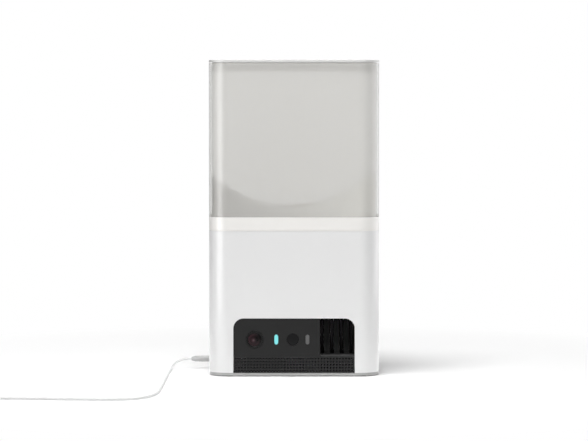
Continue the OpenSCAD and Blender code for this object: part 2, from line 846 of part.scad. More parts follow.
// The chamber's inside in the (Y, Z) plane, grown by a wall
function chamber_profile(g) = concat(
    [[y_mouth - over, z_floor - g]],
    [for (a = [270:7.5:360]) [y_back - cradle_r, z_floor + cradle_r] + polar(cradle_r + g, a)],
    [
        [y_back + g, z_cradle_top + 0.4 * g],
        [chute_back + g, z_cradle_top + slant + 0.4 * g],
        [chute_back + g, z_chute],
        [-chute_back - g, z_chute],
        [-chute_back - g, z_ceiling + slant + 0.4 * g],
        [-chute_back - slant - 0.4 * g, z_ceiling + g],
        [y_mouth - over, z_ceiling + g]
    ]
);

module cheek_outline(rear) {
    polygon([
        [y_mouth, z_shell], [rear, z_shell], [rear, throw_z + 12], [chute_back + chamber_wall, z_chute],
        [-chute_back - chamber_wall, z_chute], [y_mouth, z_ceiling + chamber_wall]
    ]);
}

// Posts that hold the gear plate, each clear of the gears
function gear_posts() = [
    [pivot_y + 18, pivot_z - 2], [pivot_y - 18, pivot_z + 6], [drive_y + 6, drive_z + 16.8],
    [throw_y - 10.4, throw_z + 5.7]
];

function finger_places() = [for (i = [0:finger_count - 1]) chamber_x + (i - (finger_count - 1) / 2) * finger_pitch];

module launch_chamber() {
    color([0.08, 0.08, 0.08]) difference() {
        union() {
            intersection() {
                along_x(cheek_x, right_cheek_x + chamber_wall) polygon(chamber_profile(chamber_wall));
                block([cheek_x, right_cheek_x + chamber_wall], [y_mouth, body_d], [0, z_chute]);
            }
            along_x(cheek_x, cheek_x + chamber_wall) cheek_outline(drive_y + 10);
            along_x(right_cheek_x, right_cheek_x + chamber_wall) cheek_outline(pivot_y + hub_r + 2);
            for (p = gear_posts()) rod_x(x_gear_plate + gear_plate_t, cheek_x + nothing, p[0], p[1], gear_post_r);
        }
        along_x(chamber_x - chamber_half, chamber_x + chamber_half) union() {
            polygon(chamber_profile(0));
            translate([-chute_back, z_chute - over]) square([2 * chute_back, 2 * over]);
        }
        for (x = finger_places())
            block(
                [x - finger_w / 2 - slot_gap, x + finger_w / 2 + slot_gap],
                [y_back - cradle_r - 2, y_back + chamber_wall + 2],
                [z_floor - chamber_wall - over, slot_top]
            );
        rod_x(x_gear_plate, x_shaft_end + over, pivot_y, pivot_z, shaft_r + e_fit);
        rod_x(cheek_x - over, cheek_x + chamber_wall + over, drive_y, drive_z, shaft_r + e_press);
        for (p = gear_posts()) rod_x(x_gear_plate, cheek_x - over, p[0], p[1], small_r + e_fit);
    }
}

module gear_plate() {
    color([0.7, 0.7, 0.7]) difference() {
        along_x(x_gear_plate, x_gear_plate + gear_plate_t) polygon([
            [pivot_y - plate_half, pivot_z - plate_edge], [pivot_y + plate_half, pivot_z - plate_edge],
            [drive_y + tip_r(driven_teeth) - plate_edge / 5, drive_z - plate_edge],
            [drive_y + 2 * plate_edge, z_plate_top], [throw_y - plate_reach, z_plate_top],
            [throw_y - plate_reach, throw_z], [pivot_y - plate_half, pivot_z + tip_r(sector_teeth)]
        ]);
        rod_x(x_gear_plate - over, cheek_x, pivot_y, pivot_z, shaft_r + e_fit);
        rod_x(x_gear_plate - over, cheek_x, drive_y, drive_z, shaft_r + e_press);
        rod_x(x_gear_plate - over, cheek_x, throw_y, throw_z, small_r + e_gap);
        for (p = gear_posts()) rod_x(x_gear_plate - over, cheek_x, p[0], p[1], small_r + e_fit);
    }
}

module gear_plate_screws() {
    color("silver") for (p = gear_posts()) {
        rod_x(x_gear_plate - small_head_h, x_gear_plate, p[0], p[1], small_head_r);
        rod_x(x_gear_plate - nothing, x_gear_plate + gear_plate_t + gear_screw_hold, p[0], p[1], small_r);
    }
}

module finger_outline() {
    rotate(rest_angle) {
        translate([0, -finger_t / 2]) square([finger_len - finger_t / 2, finger_t]);
        translate([finger_len - finger_t / 2, 0]) circle(finger_t / 2);
    }
}

module thrower() {
    hub_half = finger_pitch * (finger_count - 1) / 2 + finger_w / 2;
    color([0.35, 0.36, 0.38]) difference() {
        union() {
            rod_x(chamber_x - hub_half, chamber_x + hub_half, pivot_y, pivot_z, hub_r);
            for (x = finger_places())
                along_x(x - finger_w / 2, x + finger_w / 2, pivot_y, pivot_z) finger_outline();
        }
        rod_x(chamber_x - chamber_half, chamber_x + chamber_half, pivot_y, pivot_z, shaft_r + e_press);
    }
}

module thrower_shaft() {
    color("silver") {
        rod_x(x_gear_plate, x_shaft_end, pivot_y, pivot_z, shaft_r);
        rod_x(x_collar, x_shaft_end, pivot_y, pivot_z, hub_r);
    }
}

module thrower_spring() {
    coil_r = shaft_r + 2;
    wire_r = 0.4;
    turns = 5;
    leg = 5;
    start = x_spring + wire_r + e_press;
    end = x_collar - wire_r - e_press;
    pitch = (end - start) / turns;
    coil = [
        for (a = [0:30:360 * turns])
            [start + pitch * a / 360, pivot_y + coil_r * cos(a), pivot_z + coil_r * sin(a)]
    ];
    low_leg = [start, pivot_y + coil_r, pivot_z - leg];
    high_leg = [end, pivot_y + coil_r, pivot_z + leg];
    color("silver") bar(concat([low_leg], coil, [high_leg]), wire_r, 8, [1, 0, 0]);
}

module sector_gear() {
    color([0.92, 0.92, 0.9]) difference() {
        union() {
            along_x(x_driving, x_driving + gear_w, pivot_y, pivot_z)
                rotate(drive_dir - 4 * 360 / sector_teeth) polygon(sector_points(sector_teeth, 6));
            rod_x(x_driving, x_driving + gear_w, pivot_y, pivot_z, hub_r);
        }
        rod_x(x_driving - over, x_driving + gear_w + over, pivot_y, pivot_z, shaft_r + e_press);
    }
}

module drive_gear() {
    color([0.92, 0.9, 0.85]) difference() {
        union() {
            along_x(x_driving, x_driving + gear_w, drive_y, drive_z)
                rotate(drive_dir + 180 - 180 / driving_teeth) polygon(gear_points(driving_teeth, 6));
            along_x(x_driven, x_driven + gear_w, drive_y, drive_z)
                rotate(pinion_dir) polygon(gear_points(driven_teeth, driven_teeth));
            rod_x(x_driven, x_driving + gear_w, drive_y, drive_z, hub_r);
        }
        rod_x(x_driven - over, x_driving + gear_w + over, drive_y, drive_z, shaft_r + e_fit);
    }
}

module drive_gear_pin() {
    color("silver") rod_x(x_gear_plate, cheek_x + chamber_wall, drive_y, drive_z, shaft_r);
}

module throw_pinion() {
    color([0.85, 0.7, 0.3]) difference() {
        along_x(x_driven, x_driven + gear_w, throw_y, throw_z)
            rotate(pinion_dir + 180 + 180 / throw_teeth) polygon(gear_points(throw_teeth, throw_teeth));
        rod_x(x_driven - over, x_driven + gear_w + over, throw_y, throw_z, small_r + e_press);
    }
}

module throw_motor_shaft() {
    color("silver") rod_x(x_gear_plate - motor_seat, x_driven + gear_w + e_gap, throw_y, throw_z, small_r);
}

module throw_motor() {
    x_motor_end = x_gear_plate - throw_motor_len;
    color([0.72, 0.73, 0.75]) difference() {
        union() {
            intersection() {
                rod_x(x_motor_end, x_gear_plate, throw_y, throw_z, throw_motor_h / 2);
                along_x(x_motor_end, x_gear_plate, throw_y, throw_z)
                    square([throw_motor_w, throw_motor_h], center = true);
            }
            rod_x(x_motor_end - 2, x_motor_end, throw_y, throw_z, 3);
        }
        rod_x(x_gear_plate - motor_seat - over, x_gear_plate + over, throw_y, throw_z, small_r + e_fit);
    }
}

// ---- Front panel and what looks out of it ----

function panel_posts() =
    let (x0 = -panel_w / 2 + 5.5, x1 = chassis_right - panel_post_r)
    [for (x = [x0, x1], z = [z_window - 9.5, z_window + 12]) [x, z]];

module front_panel() {
    color([0.19, 0.19, 0.19]) difference() {
        union() {
            intersection() {
                along_y(y_panel, y_panel_in, 0, z_shell) panel_outline(panel_gap);
                block([-panel_w, x_opening], [y_panel, y_panel_in], [z_lip, z_panel_top]);
            }
            for (p = panel_posts()) rod_y(y_panel_in - nothing, y_chassis, p[0], p[1], panel_post_r);
        }
        rod_y(y_panel - over, y_panel_in + over, lens_x, z_window, lens_ring_r + e_fit);
        along_y(y_panel - over, y_panel_in + over, light_x, z_window) pill(pill_w + 2 * e_fit, light_h + 2 * e_fit);
        rod_y(y_panel - over, y_panel_in + over, sensor_x, z_window, sensor_r + e_fit);
        along_y(y_panel - over, y_panel_in + over, pill_x, z_window) pill(pill_w + 2 * e_fit, pill_h + 2 * e_fit);
    }
}

module speaker_grille() {
    rows = floor((grille_h - grille_edge) / hole_pitch) + 1;
    columns = floor((panel_w - 2 * grille_edge) / hole_pitch) + 1;
    low = z_shell + (grille_h - (rows - 1) * hole_pitch) / 2;
    color([0.19, 0.19, 0.19]) difference() {
        intersection() {
            along_y(y_panel, y_grille_in, 0, z_shell) panel_outline(panel_gap);
            block([-panel_w, panel_w], [y_panel, y_grille_in], [z_shell, z_lip]);
        }
        for (i = [0:columns - 1], k = [0:rows - 1])
            rod_y(y_panel - over, y_grille_in + over, (i - (columns - 1) / 2) * hole_pitch,
                low + k * hole_pitch, hole_r, $fn = 16);
    }
}

module lens_ring() {
    color([0.12, 0.12, 0.12]) difference() {
        union() {
            rod_y(y_front, y_panel_in + ring_flange_t, lens_x, z_window, lens_ring_r);
            rod_y(y_panel_in, y_panel_in + ring_flange_t, lens_x, z_window, lens_ring_r + 1.5);
        }
        rod_y(y_front - over, y_glass + glass_t, lens_x, z_window, lens_glass_r + e_fit);
        rod_y(y_front, y_panel_in + ring_flange_t + over, lens_x, z_window, lens_glass_r - 0.8);
    }
}

module lens_glass() {
    color([0.16, 0.05, 0.08]) rod_y(y_glass, y_glass + glass_t, lens_x, z_window, lens_glass_r);
}

module lens_barrel() {
    holder_w = 14;
    y_holder = y_chassis + chassis_t + e_gap;
    color([0.05, 0.05, 0.06]) {
        rod_y(y_glass + glass_t + e_gap, y_holder, lens_x, z_window, barrel_r);
        along_y(y_holder, y_camera_board, lens_x, z_window) square(holder_w, center = true);
    }
}

// Corners of the camera board, where the chassis holds it
function camera_posts() =
    let (reach = camera_board_w / 2 - 2.5)
    [for (sx = [-1, 1], sz = [-1, 1]) [lens_x + sx * reach, z_window + sz * reach]];

module camera_board() {
    y_back = y_camera_board + board_t;
    color([0.1, 0.35, 0.2]) difference() {
        union() {
            along_y(y_camera_board, y_back, lens_x, z_window) square(camera_board_w, center = true);
            along_y(y_back, y_back + 3, lens_x, z_window - 8) square([16, 5], center = true);
        }
        for (p = camera_posts()) rod_y(y_camera_board - over, y_back + over, p[0], p[1], small_r);
    }
}

// A window that fills its hole in the panel and is held from behind by a wider flange
module window_plug(x, w, h) {
    along_y(y_panel, y_panel_in, x, z_window) pill(w, h);
    along_y(y_panel_in, y_panel_in + glass_t, x, z_window) pill(w + 2, h + 2);
}

module light_pipe() {
    color([0.5, 0.91, 0.92]) window_plug(light_x, pill_w, light_h);
}

module pill_window() {
    color([0.41, 0.41, 0.41]) window_plug(pill_x, pill_w, pill_h);
}

module sensor_window() {
    color([0.14, 0.14, 0.15]) {
        rod_y(y_panel, y_panel_in, sensor_x, z_window, sensor_r);
        rod_y(y_panel_in, y_panel_in + glass_t, sensor_x, z_window, sensor_r + 1.2);
    }
}

module led_board() {
    edge = 2.6;
    half_h = 7;
    y_board_front = y_chassis - led_board_t;
    color([0.1, 0.35, 0.2]) {
        block([light_x - edge, pill_x + edge], [y_board_front, y_chassis], [z_window - half_h, z_window + half_h]);
        for (x = [light_x, sensor_x, pill_x])
            along_y(y_panel_in + glass_t + e_gap, y_board_front, x, z_window) square([2.8, 5], center = true);
    }
}

module chassis() {
    z0 = z_lip + 1;
    z1 = z_panel_top + 6;
    leg_w = 10;
    foot_d = 8;
    y1 = y_chassis + chassis_t;
    color([0.6, 0.6, 0.62]) difference() {
        union() {
            block([chassis_left, chassis_right], [y_chassis, y1], [z0, z1]);
            for (x = [chassis_left, chassis_right - leg_w]) {
                block([x, x + leg_w], [y_chassis, y1], [z_shell, z0]);
                block([x, x + leg_w], [y_chassis, y1 + foot_d], [z_shell, z_shell + chassis_t]);
            }
            for (p = camera_posts()) rod_y(y1 - nothing, y_camera_board, p[0], p[1], camera_post_r);
        }
        rod_y(y_chassis - over, y1 + over, lens_x, z_window, barrel_r + 2 * e_gap);
    }
}

module speaker_outline(inset) {
    translate([speaker_x, z_shell + grille_h / 2])
        rounded_rect(speaker_w - 2 * inset, speaker_h - 2 * inset, speaker_corner - inset);
}

module speaker_frame() {
    color([0.2, 0.2, 0.22]) along_y(y_grille_in, y_grille_in + speaker_t) difference() {
        speaker_outline(0);
        speaker_outline(speaker_rim);
    }
}

module speaker_cone() {
    color([0.3, 0.3, 0.3]) along_y(y_grille_in + cone_back, y_grille_in + cone_back + 0.8)
        speaker_outline(speaker_rim + e_press);
}

module speaker_magnet() {
    yoke_t = 0.8;
    y0 = y_grille_in + speaker_t;
    color([0.5, 0.5, 0.52]) {
        along_y(y0, y0 + yoke_t) speaker_outline(0);
        along_y(y0 + yoke_t, y0 + magnet_t, speaker_x, z_shell + grille_h / 2)
            square([magnet_w, speaker_h - 2], center = true);
    }
}

// ---- Electronics ----

module main_board() {
    color([0.08, 0.3, 0.17]) difference() {
        block([x_board, x_board + board_w], [y_board, y_board + board_t], [z_board, z_board + board_h]);
        for (p = board_posts()) rod_y(y_board - over, y_board + board_t + over, p[0], p[1], small_r + e_fit);
    }
}

// Parts on the board: each one's place as shares of the board's width and height, and its size across, up and out
CHIPS = [
    [0.226, 0.641, 20, 20, 2.4], [0.645, 0.667, 12, 14, 1.6], [0.355, 0.385, 8, 8, 1.2],
    [0.613, 0.385, 14, 8, 1.8], [0.194, 0.154, 10, 6, 4], [0.484, 0.154, 14, 5, 4], [0.774, 0.179, 6, 8, 3]
];

module board_chips() {
    color([0.15, 0.15, 0.16]) {
        for (c = CHIPS)
            block(
                [x_board + c[0] * board_w - c[2] / 2, x_board + c[0] * board_w + c[2] / 2],
                [y_board - c[4], y_board],
                [z_board + c[1] * board_h - c[3] / 2, z_board + c[1] * board_h + c[3] / 2]
            );
        // Tact switch that the set-up button presses
        along_y(y_board + board_t, y_board + board_t + switch_h - 0.6, button_x, button_z)
            square(switch_w, center = true);
        rod_y(y_board + board_t, y_board + board_t + switch_h, button_x, button_z, 1.5);
    }
}

module board_screws() {
    color("silver") for (p = board_posts()) {
        rod_y(y_board - small_head_h, y_board, p[0], p[1], small_head_r);
        rod_y(y_board - nothing, y_board + board_t + small_len, p[0], p[1], small_r);
    }
}

module antenna() {
    color([0.75, 0.6, 0.35]) along_x(x_side_in - 0.6, x_side_in, 0, z_shell + antenna_lift)
        square([antenna_len, antenna_w], center = true);
}

module power_jack() {
    x0 = x_jack + recess_wall;
    color([0.1, 0.1, 0.1]) difference() {
        union() {
            block([x0, x0 + jack_len], [plug_y - jack_half, plug_y + jack_half],
                [plug_z - jack_half, plug_z + jack_half]);
            block([x0 + 2, x0 + jack_len], [plug_y - jack_half, plug_y - jack_half + 2],
                [plug_z - jack_half - 1.6, plug_z - jack_half + 1]);
        }
        rod_x(x0 - over, x0 + jack_len - jack_end_t, plug_y, plug_z, jack_r);
    }
}

module setup_button() {
    color([0.85, 0.85, 0.84]) {
        rod_y(button_rear, y_button, button_x, button_z, button_r);
        rod_y(y_flange - flange_t, y_flange, button_x, button_z, flange_r);
    }
}

module button_spring() {
    turns = 3;
    r = flange_r - 0.3;
    wire_r = 0.2;
    y0 = y_board + board_t + wire_r + e_press;
    y1 = y_flange - flange_t - wire_r - e_press;
    path = [
        for (a = [0:30:360 * turns])
            [button_x + r * cos(a), y0 + (y1 - y0) * a / 360 / turns, button_z + r * sin(a)]
    ];
    color("silver") bar(path, wire_r, 8, [0, 1, 0]);
}

// ---- Lid ----

function lid_screw_places() =
    let (edge = plug_inset + plug_wall, x = body_w / 2 - edge - 12, y = body_d / 2 - edge - 6)
    [for (sx = [-1, 1], sy = [-1, 1]) [sx * x, sy * y]];

module lid_cap() {
    edge = 0.6;
    color([0.8, 0.8, 0.79]) difference() {
        union() {
            slab(0, z_cap, z_top - edge);
            slab(edge, z_top - edge, z_top);
        }
        for (p = lid_screw_places()) rod_z(z_cap - over, z_cap + lid_screw_hold + 0.2, p[0], p[1], small_r + e_fit);
    }
}

module lid_plug() {
    color([0.75, 0.75, 0.74]) difference() {
        union() {
            wall(plug_inset, plug_inset + plug_wall, z_cap - plug_h, z_cap);
            slab(plug_inset, z_cap - plug_floor, z_cap);
        }
        wall(plug_inset - over, plug_inset + gasket_seat, z_gasket, z_gasket + gasket_h);
        for (p = lid_screw_places()) rod_z(z_cap - plug_floor - over, z_cap + over, p[0], p[1], small_r + e_fit);
    }
}

module lid_gasket() {
    color([0.85, 0.85, 0.85])
        wall(container_wall + e_gap, plug_inset + gasket_seat, z_gasket, z_gasket + gasket_h);
}

module lid_screws() {
    color("silver") for (p = lid_screw_places())
        screw_up(p[0], p[1], z_cap - plug_floor, small_r, plug_floor + lid_screw_hold, small_head_r, small_head_h);
}

// ---- Lead ----

module power_plug() {
    taper = 3.5;
    x_end = CORD[0][0];
    x_moulding = x_jack - e_gap;
    color([0.78, 0.78, 0.78]) {
        translate([x_end, plug_y, plug_z]) rotate([0, 90, 0]) cylinder(h = taper, r1 = neck_r, r2 = moulding_r);
        rod_x(x_end + taper, x_moulding, plug_y, plug_z, moulding_r);
        rod_x(x_moulding, x_jack + recess_wall + jack_len - 2 * jack_end_t, plug_y, plug_z, jack_r - barrel_clear);
    }
}

module power_cord() {
    color([0.9, 0.9, 0.9]) bar(smooth(CORD, 2), cord_d / 2, 8, [0, 0, 1]);
}

module cord_tail() {
    color([0.9, 0.9, 0.9]) bar(smooth(TAIL, 2), cord_d / 2, 8, [0, 0, 1]);
}

module cord_coil() {
    color([0.9, 0.9, 0.9]) translate([coil_x, coil_y, coil_z]) rotate_extrude()
        translate([coil_mid_r - coil_half, 0]) square([2 * coil_half, coil_rows * cord_d]);
}

module cord_tie() {
    low = coil_y + sqrt(pow(coil_mid_r - coil_half, 2) - pow(tie_w / 2, 2)) - e_press;
    high = coil_y + coil_mid_r + coil_half + e_press;
    top = coil_z + coil_rows * cord_d;
    color([0.15, 0.15, 0.15]) difference() {
        block([coil_x - tie_w / 2, coil_x + tie_w / 2], [low - tie_t, high + tie_t], [0, top + tie_t]);
        block([coil_x - tie_w, coil_x + tie_w], [low, high], [tie_t, top]);
    }
}

module usb_plug() {
    relief = 8;
    grip = 28;
    shell = 12;
    color([0.9, 0.9, 0.9]) translate([usb_x, usb_y, usb_z]) {
        rotate([-90, 0, 0]) cylinder(h = relief, r1 = neck_r, r2 = moulding_r);
        translate([0, relief + grip / 2]) cube([16, grip, 2 * usb_z], center = true);
        translate([0, relief + grip + shell / 2]) cube([shell, shell, 4.5], center = true);
    }
}

body_shell();
base_plate();
base_feet();
base_screws();
feed_deck();
collar();
collar_screws();
container();
hopper_floor();
wheel_cover();
metering_housing();
metering_wheel();
wheel_axle();
feed_pinion();
feed_motor_shaft();
feed_motor();
drop_chute();
launch_chamber();
gear_plate();
gear_plate_screws();
thrower();
thrower_shaft();
thrower_spring();
sector_gear();
drive_gear();
drive_gear_pin();
throw_pinion();
throw_motor_shaft();
throw_motor();
chassis();
front_panel();
speaker_grille();
lens_ring();
lens_glass();
lens_barrel();
camera_board();
light_pipe();
led_board();
sensor_window();
pill_window();
speaker_frame();
speaker_cone();
speaker_magnet();
main_board();
board_chips();
board_screws();
antenna();
power_jack();
setup_button();
button_spring();
lid_cap();
lid_plug();
lid_gasket();
lid_screws();
power_plug();
power_cord();
cord_coil();
cord_tail();
cord_tie();
usb_plug();
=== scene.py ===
"""A treat tossing pet camera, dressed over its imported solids.

Lengths are in metres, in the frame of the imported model: the front faces -Y, +Z is up, and the
object stands on z = 0. Each sub-assembly is a class that models its pieces and gives them their
finishes, and `main` builds them in order.
"""

import logging
import math
from abc import ABC, abstractmethod
from contextlib import contextmanager
from dataclasses import dataclass
from enum import Enum
from typing import Callable, Iterator, Mapping, Sequence

import bmesh
import bpy
from mathutils import Matrix, Vector

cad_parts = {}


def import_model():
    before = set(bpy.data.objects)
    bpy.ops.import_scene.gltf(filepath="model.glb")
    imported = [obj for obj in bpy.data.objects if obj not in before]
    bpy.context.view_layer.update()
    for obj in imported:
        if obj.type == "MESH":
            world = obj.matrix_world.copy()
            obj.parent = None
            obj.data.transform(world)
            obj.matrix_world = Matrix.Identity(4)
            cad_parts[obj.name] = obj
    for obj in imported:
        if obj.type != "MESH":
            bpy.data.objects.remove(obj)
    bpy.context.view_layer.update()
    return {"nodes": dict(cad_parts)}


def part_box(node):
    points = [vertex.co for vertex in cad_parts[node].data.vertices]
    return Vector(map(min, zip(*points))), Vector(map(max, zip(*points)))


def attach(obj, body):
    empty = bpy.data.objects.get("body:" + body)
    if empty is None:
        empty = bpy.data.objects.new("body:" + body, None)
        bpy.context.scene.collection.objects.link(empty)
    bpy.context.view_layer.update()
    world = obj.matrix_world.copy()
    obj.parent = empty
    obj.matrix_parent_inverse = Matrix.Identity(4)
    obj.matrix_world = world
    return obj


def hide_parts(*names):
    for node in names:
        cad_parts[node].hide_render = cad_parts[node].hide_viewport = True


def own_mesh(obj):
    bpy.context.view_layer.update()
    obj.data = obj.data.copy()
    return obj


LOG = logging.getLogger("pet_camera")
MM = 0.001
TOUCH = 1e-6
PARALLEL = 0.99

Triple = tuple[float, float, float]
Pair = tuple[float, float]
Outline = Sequence[Pair]
Piece = bpy.types.Object
Socket = bpy.types.NodeSocket
Test = Callable[[Vector, Vector], bool]


# ---- Names ----


class Body(Enum):
    """The bodies that modelled pieces ride on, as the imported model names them."""

    HOUSING = "housing"
    LID = "lid"
    WHEEL = "wheel"
    THROWER = "thrower"
    BUTTON = "button"


class Slot(Enum):
    """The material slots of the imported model."""

    SHELL = "shell_white"
    BASE = "base_grey"
    FOOT = "foot_rubber"
    SCREW = "screw_steel"
    INNER = "inner_plastic"
    COLLAR = "collar_milky"
    CONTAINER = "container_smoke"
    HOPPER = "hopper_grey"
    WHEEL = "wheel_orange"
    GEAR = "gear_white"
    BRASS = "gear_brass"
    SHAFT = "shaft_steel"
    MOTOR = "motor_steel"
    CHAMBER = "chamber_black"
    THROWER = "thrower_grey"
    PANEL = "panel_dark"
    RING = "ring_black"
    LENS = "lens_glass"
    BARREL = "barrel_black"
    BOARD = "board_green"
    CHIP = "chip_black"
    LIGHT = "light_teal"
    SENSOR = "sensor_dark"
    PILL = "pill_grey"
    SPEAKER = "speaker_dark"
    CONE = "cone_paper"
    CHASSIS = "chassis_grey"
    ANTENNA = "antenna_copper"
    SPRING = "spring_steel"
    BUTTON = "button_grey"
    LID = "lid_grey"
    LID_PLUG = "plug_inner_grey"
    GASKET = "gasket_clear"
    PLUG = "plug_grey"
    CORD = "cord_white"
    TIE = "tie_black"
    USB = "usb_white"


class Facing(Enum):
    """The way that a turned piece's own +Z points, as Euler angles."""

    UP = (0.0, 0.0, 0.0)
    FRONT = (math.pi / 2, 0.0, 0.0)
    BACK = (-math.pi / 2, 0.0, 0.0)
    RIGHT = (0.0, math.pi / 2, 0.0)


# ---- Modelling ----


def put_down() -> None:
    """Leave edit mode and deselect everything."""
    if bpy.context.object and bpy.context.object.mode != "OBJECT":
        bpy.ops.object.mode_set(mode="OBJECT")
    bpy.ops.object.select_all(action="DESELECT")


def pick(piece: Piece) -> None:
    """Make a piece the only selected one, and the active one.

    Args:
        piece: the piece to work on.
    """
    put_down()
    bpy.context.view_layer.objects.active = piece
    piece.select_set(True)


@contextmanager
def editing(piece: Piece, elements: str = "EDGE") -> Iterator[None]:
    """Open a piece in edit mode with nothing selected, and close it again.

    Args:
        piece: the piece to edit.
        elements: what is selected, VERT, EDGE or FACE.

    Yields:
        Nothing, while the piece is open.
    """
    pick(piece)
    bpy.ops.object.mode_set(mode="EDIT")
    bpy.ops.mesh.select_mode(type=elements)
    bpy.ops.mesh.select_all(action="DESELECT")
    try:
        yield
    finally:
        bpy.ops.object.mode_set(mode="OBJECT")


def choose_edges(piece: Piece, wanted: Test) -> None:
    """Select the edges whose two ends pass a test. The piece is in edit mode.

    Args:
        piece: the piece that is being edited.
        wanted: given an edge's two ends, whether it is selected.
    """
    mesh = bmesh.from_edit_mesh(piece.data)
    for edge in mesh.edges:
        edge.select_set(wanted(edge.verts[0].co, edge.verts[1].co))
    bmesh.update_edit_mesh(piece.data)


def choose_faces(piece: Piece, wanted: Test) -> None:
    """Select the faces whose middle and normal pass a test. The piece is in edit mode.

    Args:
        piece: the piece that is being edited.
        wanted: given a face's middle and normal, whether it is selected.
    """
    mesh = bmesh.from_edit_mesh(piece.data)
    for face in mesh.faces:
        face.select_set(wanted(face.calc_center_median(), face.normal))
    bmesh.update_edit_mesh(piece.data)


def along(axis: int) -> Test:
    """A test for edges that run along one axis.

    Args:
        axis: 0, 1 or 2 for X, Y or Z.

    Returns:
        The test for `choose_edges`.
    """
    return lambda a, b: abs((b - a).normalized()[axis]) > PARALLEL


def level(axis: int, value: float) -> Test:
    """A test for edges that lie in one plane square to an axis.

    Args:
        axis: 0, 1 or 2 for X, Y or Z.
        value: the plane's place on that axis.

    Returns:
        The test for `choose_edges`.
    """
    return lambda a, b: abs(a[axis] - value) < TOUCH and abs(b[axis] - value) < TOUCH


def fix_place(piece: Piece) -> None:
    """Put a piece's place, turn and scale into its mesh.

    Args:
        piece: the piece.
    """
    pick(piece)
    bpy.ops.object.transform_apply(location=True, rotation=True, scale=True)


def block(name: str, low: Sequence[float], high: Sequence[float]) -> Piece:
    """Start a piece from a cube at its size and place.

    Args:
        name: the piece's name.
        low: its lowest corner.
        high: its highest corner.

    Returns:
        The piece.
    """
    put_down()
    low, high = Vector(low), Vector(high)
    bpy.ops.mesh.primitive_cube_add(size=1.0, location=(low + high) / 2, scale=high - low)
    piece = bpy.context.object
    piece.name = name
    fix_place(piece)
    return piece


def round_edges(piece: Piece, wanted: Test, radius: float, steps: int = 3) -> None:
    """Round the chosen edges over.

    Args:
        piece: the piece.
        wanted: a test on an edge's two ends.
        radius: the radius of the rounding.
        steps: how many faces it is cut into.
    """
    with editing(piece):
        choose_edges(piece, wanted)
        bpy.ops.mesh.bevel(offset=radius, segments=steps, profile=0.5, affect="EDGES")


def apply_modifier(piece: Piece, kind: str, **settings: object) -> None:
    """Add a modifier to a piece and apply it.

    Args:
        piece: the piece.
        kind: the modifier's type.
        settings: the modifier's own settings.
    """
    pick(piece)
    modifier = piece.modifiers.new(kind.lower(), kind)
    for key, value in settings.items():
        setattr(modifier, key, value)
    bpy.ops.object.modifier_apply(modifier=modifier.name)


def cut(piece: Piece, *tools: Piece) -> None:
    """Cut tools out of a piece, and throw the tools away.

    Args:
        piece: the piece that is cut.
        tools: the pieces that stand where it becomes empty.
    """
    for tool in tools:
        apply_modifier(piece, "BOOLEAN", operation="DIFFERENCE", solver="EXACT", object=tool)
        bpy.data.objects.remove(tool)


def join(name: str, pieces: Sequence[Piece]) -> Piece:
    """Join pieces into one object, without melting them together.

    Args:
        name: the new object's name.
        pieces: the pieces, which are used up.

    Returns:
        The joined piece.
    """
    pick(pieces[0])
    for piece in pieces:
        piece.select_set(True)
    if len(pieces) > 1:
        bpy.ops.object.join()
    joined = bpy.context.view_layer.objects.active
    joined.name = name
    return joined


def copies(piece: Piece, shifts: Sequence[Sequence[float]]) -> list[Piece]:
    """Copy a piece to other places, each copy with its own mesh, and remove the pattern.

    Args:
        piece: the pattern, which is removed.
        shifts: how far each copy stands from the pattern.

    Returns:
        The copies.
    """
    made = []
    for shift in shifts:
        twin = bpy.data.objects.new(piece.name, piece.data.copy())
        twin.data.transform(Matrix.Translation(Vector(shift)))
        bpy.context.scene.collection.objects.link(twin)
        made.append(twin)
    bpy.data.objects.remove(piece)
    return made


def face_outwards(piece: Piece) -> None:
    """Merge a piece's doubled points and turn all its faces outwards.

    Args:
        piece: the piece.
    """
    with editing(piece, "VERT"):
        bpy.ops.mesh.select_all(action="SELECT")
        bpy.ops.mesh.remove_doubles(threshold=1e-7)
        bpy.ops.mesh.normals_make_consistent(inside=False)


def turned(
    name: str,
    outline: Outline,
    place: Sequence[float],
    facing: Facing = Facing.UP,
    sides: int = 64,
    bored: bool = False,
) -> Piece:
    """Turn a piece on its axis, as on a lathe.

    Args:
        name: the piece's name.
        outline: (radius, height) pairs, from the start of the cut to its end.
        place: where the axis starts.
        facing: the way that the height runs.
        sides: how many faces go round.
        bored: whether the outline runs round a hole, back to where it began.

    Returns:
        The piece.
    """
    put_down()
    radius, height = outline[0]
    bpy.ops.mesh.primitive_circle_add(
        vertices=sides,
        radius=radius,
        fill_type="NOTHING" if bored else "NGON",
        location=(0, 0, height),
    )
    piece = bpy.context.object
    piece.name = name
    fix_place(piece)
    with editing(piece, "VERT"):
        bpy.ops.mesh.select_all(action="SELECT")
        for (r0, h0), (r1, h1) in zip(outline, outline[1:]):
            bpy.ops.mesh.extrude_region_move(TRANSFORM_OT_translate={"value": (0, 0, h1 - h0)})
            bpy.ops.transform.resize(value=(r1 / r0, r1 / r0, 1), center_override=(0, 0, h1))
    piece.rotation_euler = facing.value
    piece.location = Vector(place)
    fix_place(piece)
    face_outwards(piece)
    return piece


def rounded_slab(
    name: str, low: Sequence[float], high: Sequence[float], corner: float, steps: int = 14
) -> Piece:
    """Make a slab whose four upright edges are round.

    Args:
        name: the piece's name.
        low: its lowest corner.
        high: its highest corner.
        corner: the radius of the upright edges.
        steps: how many faces each of them is cut into.

    Returns:
        The piece.
    """
    piece = block(name, low, high)
    round_edges(piece, along(2), corner, steps)
    return piece


